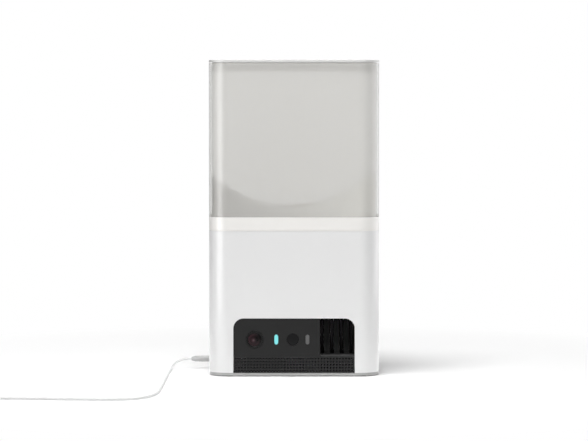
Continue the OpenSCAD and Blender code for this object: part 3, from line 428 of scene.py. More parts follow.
def rounded_tube(
    name: str,
    low: Sequence[float],
    high: Sequence[float],
    corner: float,
    wall: float,
    edge: float,
) -> Piece:
    """Make an upright tube with round corners, open above and below.

    Args:
        name: the piece's name.
        low: its lowest corner.
        high: its highest corner.
        corner: the outer radius of its upright edges.
        wall: the thickness of its wall.
        edge: the rounding of its two rims.

    Returns:
        The piece.
    """
    piece = rounded_slab(name, low, high, corner)
    with editing(piece, "FACE"):
        choose_faces(piece, lambda middle, normal: abs(normal.z) > 0.9)
        bpy.ops.mesh.delete(type="FACE")
    apply_modifier(piece, "SOLIDIFY", thickness=wall, offset=-1.0, use_even_offset=True)
    for z in (low[2], high[2]):
        round_edges(piece, level(2, z), edge, 3)
    return piece


def pill_plate(name: str, middle: Pair, size: Pair, span: Pair, edge: float) -> Piece:
    """Make a plate that faces -Y, with half round ends above and below.

    Args:
        name: the piece's name.
        middle: its middle in X and Z.
        size: its width and height.
        span: its front and its back in Y.
        edge: the rounding of its front edge.

    Returns:
        The piece.
    """
    (x, z), (w, h) = middle, size
    piece = block(name, (x - w / 2, span[0], z - h / 2), (x + w / 2, span[1], z + h / 2))
    round_edges(piece, along(1), 0.47 * w, 8)
    round_edges(piece, level(1, span[0]), edge, 4)
    return piece


def solid_copy(node: str, name: str, edge: float = 0.0, crease: float = 40.0) -> Piece:
    """Copy a node's solid as one clean mesh, so that its round faces and edges can be softened.

    Args:
        node: the node.
        name: the new piece's name.
        edge: the rounding of its sharp edges, or 0 for none.
        crease: the angle in degrees from which an edge counts as sharp.

    Returns:
        The piece.
    """
    piece = bpy.data.objects.new(name, bpy.data.objects[node].data.copy())
    bpy.context.scene.collection.objects.link(piece)
    with editing(piece, "VERT"):
        bpy.ops.mesh.select_all(action="SELECT")
        bpy.ops.mesh.remove_doubles(threshold=2e-6)
        bpy.ops.mesh.select_all(action="SELECT")
        bpy.ops.mesh.dissolve_limited(angle_limit=math.radians(0.4))
    if edge:
        apply_modifier(
            piece,
            "BEVEL",
            width=edge,
            segments=2,
            limit_method="ANGLE",
            angle_limit=math.radians(crease),
            use_clamp_overlap=True,
            harden_normals=True,
        )
    return piece


# ---- Finishes ----


class NodeSheet:
    """A node material that is being wired, with short ways to add to it."""

    def __init__(self, name: str) -> None:
        """Start the material.

        Args:
            name: the material's name.
        """
        self.material = bpy.data.materials.new(name)
        self.material.use_nodes = True
        self.tree = self.material.node_tree
        self.shader = self.tree.nodes["Principled BSDF"]
        self.place = self.tree.nodes.new("ShaderNodeTexCoord").outputs["Object"]

    def fix(self, settings: Mapping[str, object]) -> None:
        """Set the shader's own sockets.

        Args:
            settings: a value for each socket's name.
        """
        for socket, value in settings.items():
            self.shader.inputs[socket].default_value = value

    def feed(self, socket: str, source: Socket) -> None:
        """Link a source to one of the shader's sockets."""
        self.tree.links.new(source, self.shader.inputs[socket])

    def add(
        self, kind: str, inputs: Mapping[str | int, object], **settings: object
    ) -> bpy.types.Node:
        """Add a node.

        Args:
            kind: the node's type.
            inputs: a value or a source for each of its sockets.
            settings: its own settings.

        Returns:
            The node.
        """
        node = self.tree.nodes.new(kind)
        for key, value in settings.items():
            setattr(node, key, value)
        for key, value in inputs.items():
            if isinstance(value, Socket):
                self.tree.links.new(value, node.inputs[key])
            else:
                node.inputs[key].default_value = value
        return node

    def stretched(self, scale: Triple, centre: Triple = (0, 0, 0)) -> Socket:
        """Stretch a pattern's coordinates about a centre.

        Args:
            scale: how many times finer the pattern gets along each axis.
            centre: the point that becomes the origin.

        Returns:
            The coordinates.
        """
        shifted = self.add(
            "ShaderNodeMapping", {"Vector": self.place, "Location": tuple(-c for c in centre)}
        )
        return self.add(
            "ShaderNodeMapping", {"Vector": shifted.outputs[0], "Scale": scale}
        ).outputs[0]

    def fading(self, reach: Triple, centre: Triple = (0, 0, 0)) -> Socket:
        """Make a factor that is 1 at a centre and fades to 0 at its reach.

        Args:
            reach: how far it reaches along each axis.
            centre: where it is 1.

        Returns:
            The factor.
        """
        vector = self.stretched((1 / reach[0], 1 / reach[1], 1 / reach[2]), centre)
        return self.add(
            "ShaderNodeTexGradient", {"Vector": vector}, gradient_type="SPHERICAL"
        ).outputs["Fac"]

    def noise(self, size: float, detail: float = 2.0, vector: Socket | None = None) -> Socket:
        """Make soft noise.

        Args:
            size: about how large its blotches are.
            detail: how many finer layers lie over them.
            vector: its coordinates, if they aren't the piece's own.

        Returns:
            The noise, from 0 to 1.
        """
        return self.add(
            "ShaderNodeTexNoise",
            {"Vector": vector or self.place, "Scale": 1 / size, "Detail": detail},
        ).outputs["Fac"]

    def spread(
        self, source: Socket, low: float, high: float, start: float = 0.3, end: float = 0.7
    ) -> Socket:
        """Map a source from one range to another, and hold it there.

        Args:
            source: the number that is mapped.
            low: what the start of its range becomes.
            high: what the end of its range becomes.
            start: where its range starts.
            end: where its range ends.

        Returns:
            The mapped number.
        """
        return self.add(
            "ShaderNodeMapRange",
            {"Value": source, "From Min": start, "From Max": end, "To Min": low, "To Max": high},
        ).outputs[0]

    def tint(self, factor: Socket, dark: Socket | Triple, light: Socket | Triple) -> Socket:
        """Blend two colours, each of them fixed or from a source.

        Args:
            factor: how much of the light colour there is.
            dark: the colour where the factor is 0.
            light: the colour where it is 1.

        Returns:
            The blend.
        """
        ends = [end if isinstance(end, Socket) else (*end, 1) for end in (dark, light)]
        return self.add(
            "ShaderNodeMix", {0: factor, 6: ends[0], 7: ends[1]}, data_type="RGBA"
        ).outputs[2]

    def reckon(self, kind: str, *terms: Socket | float) -> Socket:
        """Combine numbers by an operation of the Math node."""
        return self.add("ShaderNodeMath", dict(enumerate(terms)), operation=kind).outputs[0]

    def bump(self, height: Socket, depth: float, under: Socket | None = None) -> Socket:
        """Turn a height from 0 to 1 into a normal.

        Args:
            height: the height.
            depth: how high 1 stands, in metres.
            under: the normal that it lies over, if any.

        Returns:
            The normal.
        """
        inputs: dict[str | int, object] = {"Height": height, "Distance": depth, "Strength": 1.0}
        if under:
            inputs["Normal"] = under
        return self.add("ShaderNodeBump", inputs).outputs[0]

    def dapple(self, pattern: Socket, colour: Triple, by: float) -> None:
        """Make the base colour darker by a share of itself where a pattern is low."""
        blend = self.tint(self.spread(pattern, 0, 1), shade(colour, by), colour)
        self.feed("Base Color", blend)

    def wear(self, pattern: Socket, low: float, high: float) -> None:
        """Let the roughness follow a pattern, from low to high."""
        self.feed("Roughness", self.spread(pattern, low, high))

    def emboss(self, pattern: Socket, depth: float) -> None:
        """Raise a pattern from the surface."""
        self.feed("Normal", self.bump(pattern, depth))


class Finish(ABC):
    """A surface finish, which makes its own material."""

    def make(self, name: str) -> bpy.types.Material:
        """Make the material.

        Args:
            name: its name.

        Returns:
            The material.
        """
        sheet = NodeSheet(name)
        self.paint(sheet)
        return sheet.material

    @abstractmethod
    def paint(self, sheet: NodeSheet) -> None:
        """Wire the finish on the sheet of its material.

        Args:
            sheet: the sheet of its material.
        """


def grey(level: float) -> Triple:
    """A plain grey of the given lightness."""
    return (level, level, level)


def shade(colour: Triple, by: float) -> Triple:
    """A colour made darker by a share of itself."""
    return (colour[0] * (1 - by), colour[1] * (1 - by), colour[2] * (1 - by))


@dataclass(frozen=True)
class MouldedPlastic(Finish):
    """Moulded plastic, with the tool's fine grain and faint flow marks."""

    colour: Triple
    roughness: float = 0.42
    grain: float = 0.5 * MM
    depth: float = 0.012 * MM
    mottle: float = 0.025
    gloss: float = 0.5
    lacquer: float = 0.0
    flow: float = 38 * MM
    smudge: float = 7 * MM

    def paint(self, sheet: NodeSheet) -> None:
        """Wire the flow marks, the smudges and the grain.

        Args:
            sheet: the sheet of its material.
        """
        flow = sheet.noise(self.flow, 3, sheet.stretched((1, 1, 0.45)))
        sheet.dapple(flow, self.colour, self.mottle)
        sheet.wear(sheet.noise(self.smudge, 4), self.roughness * 0.95, self.roughness * 1.05)
        sheet.emboss(sheet.noise(self.grain, 2), self.depth)
        sheet.fix(
            {
                "Specular IOR Level": self.gloss,
                "Coat Weight": self.lacquer,
                "Coat Roughness": 0.08,
            }
        )


@dataclass(frozen=True)
class TintedPlastic(Finish):
    """Moulded plastic whose tint changes softly along one axis, with a fine grain."""

    first: Triple
    last: Triple
    axis: str
    start: float
    end: float
    roughness: float = 0.32
    gloss: float = 0.5
    waver: float = 6 * MM
    cloud: float = 30 * MM
    smudge: float = 7 * MM
    grain: float = 0.5 * MM

    def paint(self, sheet: NodeSheet) -> None:
        """Wire the run of the tint, which wavers a little, and the grain.

        Args:
            sheet: the sheet of its material.
        """
        place = sheet.add("ShaderNodeSeparateXYZ", {0: sheet.place}).outputs[self.axis]
        cloudy = sheet.reckon("MULTIPLY_ADD", sheet.noise(self.cloud, 3), self.waver, place)
        run = sheet.spread(cloudy, 0.0, 1.0, self.start, self.end)
        sheet.feed("Base Color", sheet.tint(run, self.first, self.last))
        sheet.wear(sheet.noise(self.smudge, 4), self.roughness * 0.95, self.roughness * 1.05)
        sheet.emboss(sheet.noise(self.grain, 2), 0.006 * MM)
        sheet.fix({"Specular IOR Level": self.gloss})


@dataclass(frozen=True)
class SmokedPlastic(Finish):
    """See-through plastic with a smoky tint, which is deeper where it is seen edge on."""

    colour: Triple
    rim: Triple
    alpha: float
    roughness: float = 0.24
    gloss: float = 0.5
    cloud: float = 60 * MM
    smudge: float = 26 * MM
    ripple: float = 12 * MM

    def paint(self, sheet: NodeSheet) -> None:
        """Wire the smoke, the deeper edges, and the faint marks of hands and mould.

        Args:
            sheet: the sheet of its material.
        """
        cloud = sheet.noise(self.cloud, 2, sheet.stretched((1, 1, 0.3)))
        clear = sheet.tint(sheet.spread(cloud, 0, 1), shade(self.colour, 0.02), self.colour)
        edge_on = sheet.add("ShaderNodeLayerWeight", {"Blend": 0.5}).outputs["Facing"]
        deeper = sheet.spread(edge_on, 0, 1, 0.45, 1.0)
        sheet.feed("Base Color", sheet.tint(deeper, clear, self.rim))
        sheet.wear(sheet.noise(self.smudge, 2), self.roughness * 0.96, self.roughness * 1.04)
        sheet.emboss(sheet.noise(self.ripple, 1), 0.008 * MM)
        sheet.fix({"Alpha": self.alpha, "Specular IOR Level": self.gloss})


@dataclass(frozen=True)
class DrawnMetal(Finish):
    """Metal with fine tool lines, which run where the pattern is stretched."""

    colour: Triple
    roughness: float = 0.28
    lines: Triple = (1.0, 1.0, 0.06)
    depth: float = 0.006 * MM
    tarnish: float = 0.12
    scratch: float = 0.25 * MM
    stain: float = 6 * MM

    def paint(self, sheet: NodeSheet) -> None:
        """Wire the tarnish and the tool lines.

        Args:
            sheet: the sheet of its material.
        """
        scratches = sheet.noise(self.scratch, 2, sheet.stretched(self.lines))
        sheet.dapple(sheet.noise(self.stain, 4), self.colour, self.tarnish)
        sheet.wear(scratches, self.roughness * 0.8, self.roughness * 1.3)
        sheet.emboss(scratches, self.depth)
        sheet.fix({"Metallic": 1.0})


@dataclass(frozen=True)
class BoardLaminate(Finish):
    """Solder mask over copper tracks, with plated holes between them."""

    mask: Triple
    track: Triple
    metal: Triple
    pitch: float = 1.6 * MM
    track_share: float = 0.55
    pad_size: float = 0.13

    def paint(self, sheet: NodeSheet) -> None:
        """Wire the tracks, which run in rings round squares, and the pads.

        Args:
            sheet: the sheet of its material.
        """
        weave = sheet.add(
            "ShaderNodeTexVoronoi",
            {"Vector": sheet.place, "Scale": 1 / (4 * self.pitch), "Randomness": 0.75},
            distance="CHEBYCHEV",
        ).outputs["Distance"]
        rings = sheet.reckon("FRACT", sheet.reckon("MULTIPLY", weave, 3.0))
        tracks = sheet.reckon("GREATER_THAN", rings, self.track_share)
        dots = sheet.add(
            "ShaderNodeTexVoronoi",
            {"Vector": sheet.place, "Scale": 1 / (2.2 * self.pitch), "Randomness": 0.6},
        ).outputs["Distance"]
        pads = sheet.reckon("LESS_THAN", dots, self.pad_size)
        masked = sheet.tint(tracks, self.mask, self.track)
        sheet.feed("Base Color", sheet.tint(pads, masked, self.metal))
        sheet.feed("Metallic", pads)
        sheet.wear(sheet.noise(3 * MM), 0.28, 0.4)
        sheet.emboss(tracks, 0.03 * MM)


@dataclass(frozen=True)
class LitPlastic(Finish):
    """Clear plastic lit from behind, brightest along its middle."""

    colour: Triple
    strength: float
    centre: Triple
    reach: Triple
    grain: float = 0.4 * MM

    def paint(self, sheet: NodeSheet) -> None:
        """Wire the light, which dims towards the edges, and the grain.

        Args:
            sheet: the sheet of its material.
        """
        glow = sheet.spread(sheet.fading(self.reach, self.centre), 0, 1, 0.2, 0.42)
        grain = sheet.noise(self.grain)
        unlit = sheet.tint(grain, shade(self.colour, 0.85), shade(self.colour, 0.8))
        sheet.feed("Base Color", unlit)
        sheet.feed("Emission Color", sheet.tint(glow, shade(self.colour, 0.72), self.colour))
        sheet.wear(grain, 0.18, 0.26)
        sheet.emboss(grain, 0.004 * MM)
        sheet.fix({"Emission Strength": self.strength})


@dataclass(frozen=True)
class PaintedGlintGlass(Finish):
    """Dark coated glass, whose coating and inner rings show as bands round one point.

    A soft patch of painted shade stands off to one side.
    """

    bands: tuple[tuple[float, Triple], ...]
    centre: Triple
    radius: float
    painted_shade_centre: Triple
    painted_shade: Triple = (0.0015, 0.001, 0.001)
    roughness: float = 0.1
    gloss: float = 0.1
    smear: float = 2.5 * MM

    def paint(self, sheet: NodeSheet) -> None:
        """Wire the bands of painted reflections and highlight, the patch of painted shade, and the
        smears.

        Args:
            sheet: the sheet of its material.
        """
        r, through = self.radius, 20 * self.radius
        smear = sheet.noise(self.smear, 3)
        # Rings of painted reflection round the centre, with a painted highlight in the middle.
        inwards = sheet.fading((r, through, r), self.centre)
        uneven = sheet.reckon("MULTIPLY_ADD", smear, 0.05, inwards)
        ramp = sheet.add("ShaderNodeValToRGB", {"Fac": uneven})
        while len(ramp.color_ramp.elements) < len(self.bands):
            ramp.color_ramp.elements.new(0.5)
        for stop, (place, colour) in zip(ramp.color_ramp.elements, self.bands):
            stop.position, stop.color = place, (*colour, 1.0)
        # A soft patch of painted shade, off to one side.
        shade_fade = sheet.fading((0.8 * r, through, r), self.painted_shade_centre)
        shaded_over = sheet.tint(
            sheet.spread(shade_fade, 0, 0.9, 0.0, 0.7), ramp.outputs["Color"], self.painted_shade
        )
        sheet.feed("Base Color", shaded_over)
        sheet.wear(smear, self.roughness, self.roughness * 1.6)
        sheet.emboss(smear, 0.001 * MM)
        sheet.fix({"Specular IOR Level": self.gloss})


@dataclass(frozen=True)
class SoftRubber(Finish):
    """Rubber or a soft sheath: dull, with a fine speckle and a dusting of wear."""

    colour: Triple
    roughness: float = 0.6
    speckle: float = 0.3 * MM
    depth: float = 0.015 * MM
    dust: float = 0.12
    patches: float = 5 * MM

    def paint(self, sheet: NodeSheet) -> None:
        """Wire the dust and the speckle.

        Args:
            sheet: the sheet of its material.
        """
        sheet.dapple(sheet.noise(self.patches, 5), self.colour, self.dust)
        speckle = sheet.noise(self.speckle, 3)
        sheet.wear(speckle, self.roughness * 0.9, min(1.0, self.roughness * 1.15))
        sheet.emboss(speckle, self.depth)


@dataclass(frozen=True)
class HookTape(Finish):
    """Hook and loop tape: a woven back with a fuzzy face."""

    colour: Triple
    thread: float = 0.5 * MM
    fuzz: float = 0.2 * MM

    def paint(self, sheet: NodeSheet) -> None:
        """Wire the weave and the fuzz on it.

        Args:
            sheet: the sheet of its material.
        """
        waves = [
            sheet.add(
                "ShaderNodeTexWave",
                {
                    "Vector": sheet.place,
                    "Scale": 0.32 / self.thread,
                    "Distortion": 1.5,
                    "Detail": 1.0,
                },
                wave_type="BANDS",
                bands_direction=way,
            ).outputs["Fac"]
            for way in ("X", "Y")
        ]
        cloth = sheet.reckon("MULTIPLY", *waves)
        fuzz = sheet.noise(self.fuzz, 4)
        sheet.feed("Base Color", sheet.tint(cloth, shade(self.colour, 0.5), self.colour))
        sheet.wear(fuzz, 0.8, 0.98)
        sheet.feed("Normal", sheet.bump(fuzz, 0.08 * MM, sheet.bump(cloth, 0.15 * MM)))
        sheet.fix({"Sheen Weight": 0.3, "Sheen Roughness": 0.5})


@dataclass(frozen=True)
class ConePaper(Finish):
    """Pressed paper, with fibres that lie every way."""

    colour: Triple
    fibre: float = 0.6 * MM

    def paint(self, sheet: NodeSheet) -> None:
        """Wire the fibres.

        Args:
            sheet: the sheet of its material.
        """
        fibres = sheet.noise(self.fibre, 6, sheet.stretched((0.4, 1, 1)))
        sheet.dapple(fibres, self.colour, 0.4)
        sheet.wear(fibres, 0.75, 0.95)
        sheet.emboss(fibres, 0.05 * MM)


class Palette:
    """Every slot's finish, made into a material the first time that it is used."""

    def __init__(self, finishes: Mapping[Slot, Finish]) -> None:
        """Keep the finishes.

        Args:
            finishes: one finish for each slot.
        """
        self.finishes = finishes
        self.made: dict[Slot, bpy.types.Material] = {}

    def material(self, slot: Slot) -> bpy.types.Material:
        """The material of a slot.

        Args:
            slot: the slot.

        Returns:
            The material, made if it wasn't yet.
        """
        if slot not in self.made:
            self.made[slot] = self.finishes[slot].make(slot.value)
        return self.made[slot]


# Stops from the lens's rim to its middle: painted reflections of its inner rings, and a painted
# highlight at the middle.
LENS_GLINT_BANDS: tuple[tuple[float, Triple], ...] = (
    (0.0, (0.004, 0.003, 0.003)),
    (0.16, (0.012, 0.006, 0.007)),
    (0.3, (0.033, 0.013, 0.018)),
    (0.42, (0.022, 0.008, 0.011)),
    (0.56, (0.009, 0.003, 0.004)),
    (0.7, (0.022, 0.008, 0.011)),
    (0.84, (0.05, 0.024, 0.03)),
    (0.95, (0.115, 0.08, 0.088)),
)
# The reach of the lens's painted bands. The two offsets move the painted highlight and the patch of
# painted shade off the glass's middle.
LENS_REACH = 6.2 * MM
LENS_GLINT_OFF = (-0.7 * MM, 0.0, -0.6 * MM)
LENS_SHADE_OFF = (2.9 * MM, 0.0, 1.0 * MM)
LIGHT_REACH = (2.7 * MM, 30 * MM, 6.3 * MM)


def middle_of(node: str, off: Triple = (0.0, 0.0, 0.0)) -> Triple:
    """The middle of a node's box, or a point that stands off it."""
    low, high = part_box(node)
    return tuple((a + b) / 2 + c for a, b, c in zip(low, high, off))


def finishes() -> dict[Slot, Finish]:
    """The finish of each slot, with colours as they look under the studio's light.

    Returns:
        The finishes by slot.
    """
    # The lens: painted reflections and a painted highlight in rings, and a patch of painted shade.
    lens = PaintedGlintGlass(
        LENS_GLINT_BANDS,
        centre=middle_of("lens_glass", LENS_GLINT_OFF),
        radius=LENS_REACH,
        painted_shade_centre=middle_of("lens_glass", LENS_SHADE_OFF),
    )
    light = LitPlastic((0.2, 0.77, 0.79), 0.84, middle_of("light_pipe"), LIGHT_REACH)
    # Painted shade: the hopper is dark brown towards -X and pale towards +X.
    hopper = TintedPlastic((0.085, 0.07, 0.052), (0.88, 0.87, 0.82), "X", -0.055, 0.05)
    # Painted light and shade: the chamber is lighter at its foot, where light falls on the ribs,
    # and near black above.
    chamber = TintedPlastic(grey(0.085), grey(0.004), "Z", 0.0205, 0.0325, 0.5, 0.12)
    panel = MouldedPlastic(grey(0.01), 0.42, depth=0.004 * MM, mottle=0.06, gloss=0.16)
    sensor = MouldedPlastic((0.0052, 0.0052, 0.0056), 0.24, depth=0.001 * MM, gloss=0.09)
    return {
        Slot.SHELL: MouldedPlastic(
            grey(0.79), 0.36, depth=0.006 * MM, mottle=0.012, lacquer=0.35
        ),
        Slot.BASE: MouldedPlastic((0.42, 0.42, 0.415), 0.5),
        Slot.FOOT: SoftRubber(grey(0.06), 0.8),
        Slot.SCREW: DrawnMetal((0.72, 0.72, 0.73), 0.32),
        Slot.INNER: MouldedPlastic((0.78, 0.78, 0.76), 0.5),
        Slot.COLLAR: MouldedPlastic(
            (0.87, 0.855, 0.83), 0.36, depth=0.003 * MM, mottle=0.01, lacquer=0.35
        ),
        Slot.CONTAINER: SmokedPlastic(
            (0.77, 0.76, 0.73), (0.22, 0.22, 0.205), 0.42, gloss=0.85
        ),
        Slot.HOPPER: hopper,
        Slot.WHEEL: MouldedPlastic((0.8, 0.36, 0.1), 0.45),
        Slot.GEAR: MouldedPlastic((0.84, 0.82, 0.76), 0.4),
        Slot.BRASS: DrawnMetal((0.76, 0.56, 0.26), 0.3, (0.06, 1, 1)),
        Slot.SHAFT: DrawnMetal((0.72, 0.72, 0.74), 0.22, (0.06, 1, 1)),
        Slot.MOTOR: DrawnMetal((0.6, 0.6, 0.62), 0.34),
        Slot.CHAMBER: chamber,
        Slot.THROWER: MouldedPlastic((0.006, 0.006, 0.0065), 0.5, gloss=0.12),
        Slot.PANEL: panel,
        Slot.RING: MouldedPlastic(grey(0.003), 0.3, depth=0.002 * MM, gloss=0.1),
        Slot.LENS: lens,
        Slot.BARREL: MouldedPlastic(grey(0.004), 0.5, gloss=0.3),
        Slot.BOARD: BoardLaminate((0.01, 0.11, 0.05), (0.03, 0.2, 0.09), (0.7, 0.6, 0.35)),
        Slot.CHIP: MouldedPlastic(grey(0.02), 0.55),
        Slot.LIGHT: light,
        Slot.SENSOR: sensor,
        Slot.PILL: MouldedPlastic(grey(0.118), 0.35, depth=0.003 * MM, gloss=0.22),
        Slot.SPEAKER: MouldedPlastic(grey(0.003), 0.5, gloss=0.08),
        Slot.CONE: ConePaper(grey(0.004)),
        Slot.CHASSIS: MouldedPlastic((0.3, 0.3, 0.31), 0.5),
        Slot.ANTENNA: DrawnMetal((0.66, 0.42, 0.24), 0.36),
        Slot.SPRING: DrawnMetal((0.68, 0.68, 0.7), 0.25),
        Slot.BUTTON: MouldedPlastic((0.6, 0.6, 0.59), 0.4),
        Slot.LID: MouldedPlastic((0.66, 0.66, 0.65), 0.34, mottle=0.012),
        Slot.LID_PLUG: MouldedPlastic((0.75, 0.74, 0.71), 0.34),
        Slot.GASKET: SoftRubber((0.66, 0.66, 0.65), 0.45, dust=0.05),
        Slot.PLUG: MouldedPlastic(grey(0.5), 0.4),
        Slot.CORD: SoftRubber(grey(0.74), 0.42, dust=0.04, depth=0.004 * MM),
        Slot.TIE: HookTape((0.04, 0.04, 0.042)),
        Slot.USB: MouldedPlastic(grey(0.78), 0.4),
    }


class Workshop:
    """Finishes pieces: smooths them, and says what they are made of, ride on and replace."""

    def __init__(self, palette: Palette, nodes: Mapping[str, Piece]) -> None:
        """Keep what every sub-assembly shares.

        Args:
            palette: the materials.
            nodes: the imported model's nodes.
        """
        self.palette = palette
        self.nodes = nodes

    def finish(
        self,
        piece: Piece,
        slot: Slot,
        body: Body = Body.HOUSING,
        replaces: Sequence[str] = (),
        crease: float = 32.0,
    ) -> Piece:
        """Finish a modelled piece.

        Args:
            piece: the piece.
            slot: its material slot.
            body: what it rides on.
            replaces: the nodes that it stands for.
            crease: the angle in degrees above which an edge stays sharp.

        Returns:
            The same piece.
        """
        if piece.type == "MESH":
            pick(piece)
            bpy.ops.object.shade_smooth_by_angle(angle=math.radians(crease))
            apply_modifier(piece, "WEIGHTED_NORMAL", keep_sharp=True, weight=80)
            piece.data.materials.clear()
        piece.data.materials.append(self.palette.material(slot))
        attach(piece, body.value)
        if replaces:
            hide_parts(*replaces)
        LOG.info("%s on %s, in %s", piece.name, body.value, slot.value)
        return piece

    def soften(
        self,
        node: str,
        name: str,
        slot: Slot,
        body: Body = Body.HOUSING,
        edge: float = 0.0,
        crease: float = 40.0,
    ) -> Piece:
        """Replace a node by a copy with smooth round faces and softened edges.

        Args:
            node: the node.
            name: the new piece's name.
            slot: its material slot.
            body: what it rides on.
            edge: the rounding of its edges.
            crease: the angle in degrees from which an edge counts as sharp.

        Returns:
            The new piece.
        """
        return self.finish(solid_copy(node, name, edge, crease), slot, body, [node])

    def dress(self, slots: Mapping[str, Slot]) -> None:
        """Give nodes that stay as they are their material.

        Args:
            slots: the slot of each node.
        """
        for node, slot in slots.items():
            for holder in self.nodes[node].material_slots:
                holder.material = self.palette.material(slot)
            LOG.info("%s stays, in %s", node, slot.value)


# ---- Studio ----


@dataclass(frozen=True)
class Lamp:
    """A soft lamp, which no camera sees."""

    name: str
    place: Triple
    aim: Triple
    size: tuple[float, float]
    power: float
    only_sheen: bool = False

    def hang(self) -> None:
        """Hang the lamp. One that is only for sheen lights nothing and shows in gloss alone."""
        data = bpy.data.lights.new(self.name, "AREA")
        data.shape = "RECTANGLE"
        data.size, data.size_y = self.size
        data.energy = self.power
        lamp = bpy.data.objects.new(self.name, data)
        lamp.location = self.place
        ahead = Vector(self.aim) - Vector(self.place)
        lamp.rotation_euler = ahead.to_track_quat("-Z", "Y").to_euler()
        lamp.visible_camera = False
        lamp.visible_diffuse = not self.only_sheen
        bpy.context.scene.collection.objects.link(lamp)


@dataclass(frozen=True)
class Card:
    """A grey card that only shows in gloss, so that a pale edge mirrors something darker."""

    name: str
    low: Triple
    high: Triple
    level: float = 0.12

    def stand(self) -> None:
        """Stand the card beside the object."""
        card = block(self.name, self.low, self.high)
        sheet = NodeSheet(self.name)
        cloudy = sheet.noise(400 * MM)
        sheet.feed("Emission Color", sheet.tint(cloudy, grey(self.level * 0.9), grey(self.level)))
        sheet.fix({"Base Color": (0, 0, 0, 1), "Emission Strength": 1.0, "Specular IOR Level": 0.0})
        card.data.materials.append(sheet.material)
        card.visible_camera = card.visible_diffuse = False
        card.visible_shadow = card.visible_transmission = False


@dataclass
class Studio:
    """The camera, the lamps, the floor and the white surroundings."""

    eye: Triple = (0.0, -2.537, 0.269)
    pitch: float = 3.115
    focal: float = 180.81
    sensor: float = 36.0
    ambient: float = 0.35
    floor_side: float = 14.0
    floor_glow: float = 0.07
    floor_bounce: float = 0.62
    floor_near: float = 0.45
    lamps: tuple[Lamp, ...] = (
        Lamp("key", (-0.2, -0.45, 1.6), (0, 0, 0.1), (0.7, 0.7), 20),
        Lamp("front_fill", (0.15, -2.3, 0.9), (0, 0, 0.1), (1.4, 1.0), 8.5),
        Lamp("left_strip", (-0.54, -0.36, 0.2), (0, 0, 0.17), (0.4, 0.5), 2.75, only_sheen=True),
        Lamp("right_rim", (0.725, 0.34, 0.25), (0, 0, 0.15), (0.8, 0.6), 3.0, only_sheen=True),
    )
    cards: tuple[Card, ...] = (
        Card("left_card", (-0.9, 0.2, 0.0), (-0.88, 1.9, 0.9)),
        Card("right_card", (0.5, -0.62, 0.0), (0.52, -0.2, 0.7)),
    )

    def camera(self) -> None:
        """Stand the camera where the photograph was taken from."""
        data = bpy.data.cameras.new("camera")
        data.sensor_fit = "HORIZONTAL"
        data.sensor_width = self.sensor
        data.lens = self.focal
        data.clip_end = 30.0
        camera = bpy.data.objects.new("camera", data)
        camera.location = self.eye
        camera.rotation_euler = (math.radians(90 - self.pitch), 0, 0)
        bpy.context.scene.collection.objects.link(camera)
        bpy.context.scene.camera = camera

    def surroundings(self) -> None:
        """Make the world white to the eye and in gloss and glass, and dimmer as a light."""
        world = bpy.data.worlds.new("surroundings")
        bpy.context.scene.world = world
        world.use_nodes = True
        nodes, links = world.node_tree.nodes, world.node_tree.links
        background = nodes["Background"]
        path = nodes.new("ShaderNodeLightPath")
        strength = nodes.new("ShaderNodeMapRange")
        strength.inputs["To Min"].default_value = 1.0
        strength.inputs["To Max"].default_value = self.ambient
        links.new(path.outputs["Is Diffuse Ray"], strength.inputs["Value"])
        background.inputs["Color"].default_value = (1, 1, 1, 1)
        links.new(strength.outputs[0], background.inputs["Strength"])
        bpy.context.scene.view_settings.view_transform = "Standard"

    def floor(self) -> None:
        """Lay the pale floor, which is white where no shadow falls.

        Far off it glows a full white. Near the object it mostly shows the light that falls on
        it, so that the shadow is seen.
        """
        put_down()
        bpy.ops.mesh.primitive_plane_add(size=self.floor_side, location=(0, 2.0, 0))
        floor = bpy.context.object
        floor.name = "floor"
        fix_place(floor)
        sheet = NodeSheet("floor_white")
        path = sheet.tree.nodes.new("ShaderNodeLightPath")
        near = sheet.spread(sheet.fading((self.floor_near,) * 3), 0.0, 1.0, 0.0, 0.5)
        seen = sheet.spread(near, 1.0, self.floor_glow, 0.0, 1.0)
        to_eye = sheet.reckon("MAXIMUM", seen, path.outputs["Is Glossy Ray"])
        to_object = sheet.spread(near, self.floor_bounce, 0.0, 0.0, 1.0)
        glow = sheet.add(
            "ShaderNodeMix", {0: path.outputs["Is Diffuse Ray"], 2: to_eye, 3: to_object}
        )
        sheet.feed("Emission Strength", glow.outputs[0])
        sheet.feed("Base Color", sheet.tint(near, grey(0), grey(0.93)))
        sheet.fix({"Emission Color": (1, 1, 1, 1), "Roughness": 0.9, "Specular IOR Level": 0.0})
        floor.data.materials.append(sheet.material)

    def build(self) -> None:
        """Set up the whole studio."""
        self.camera()
        self.surroundings()
        self.floor()
        for lamp in self.lamps:
            lamp.hang()
        for card in self.cards:
            card.stand()


# ---- The lead ----


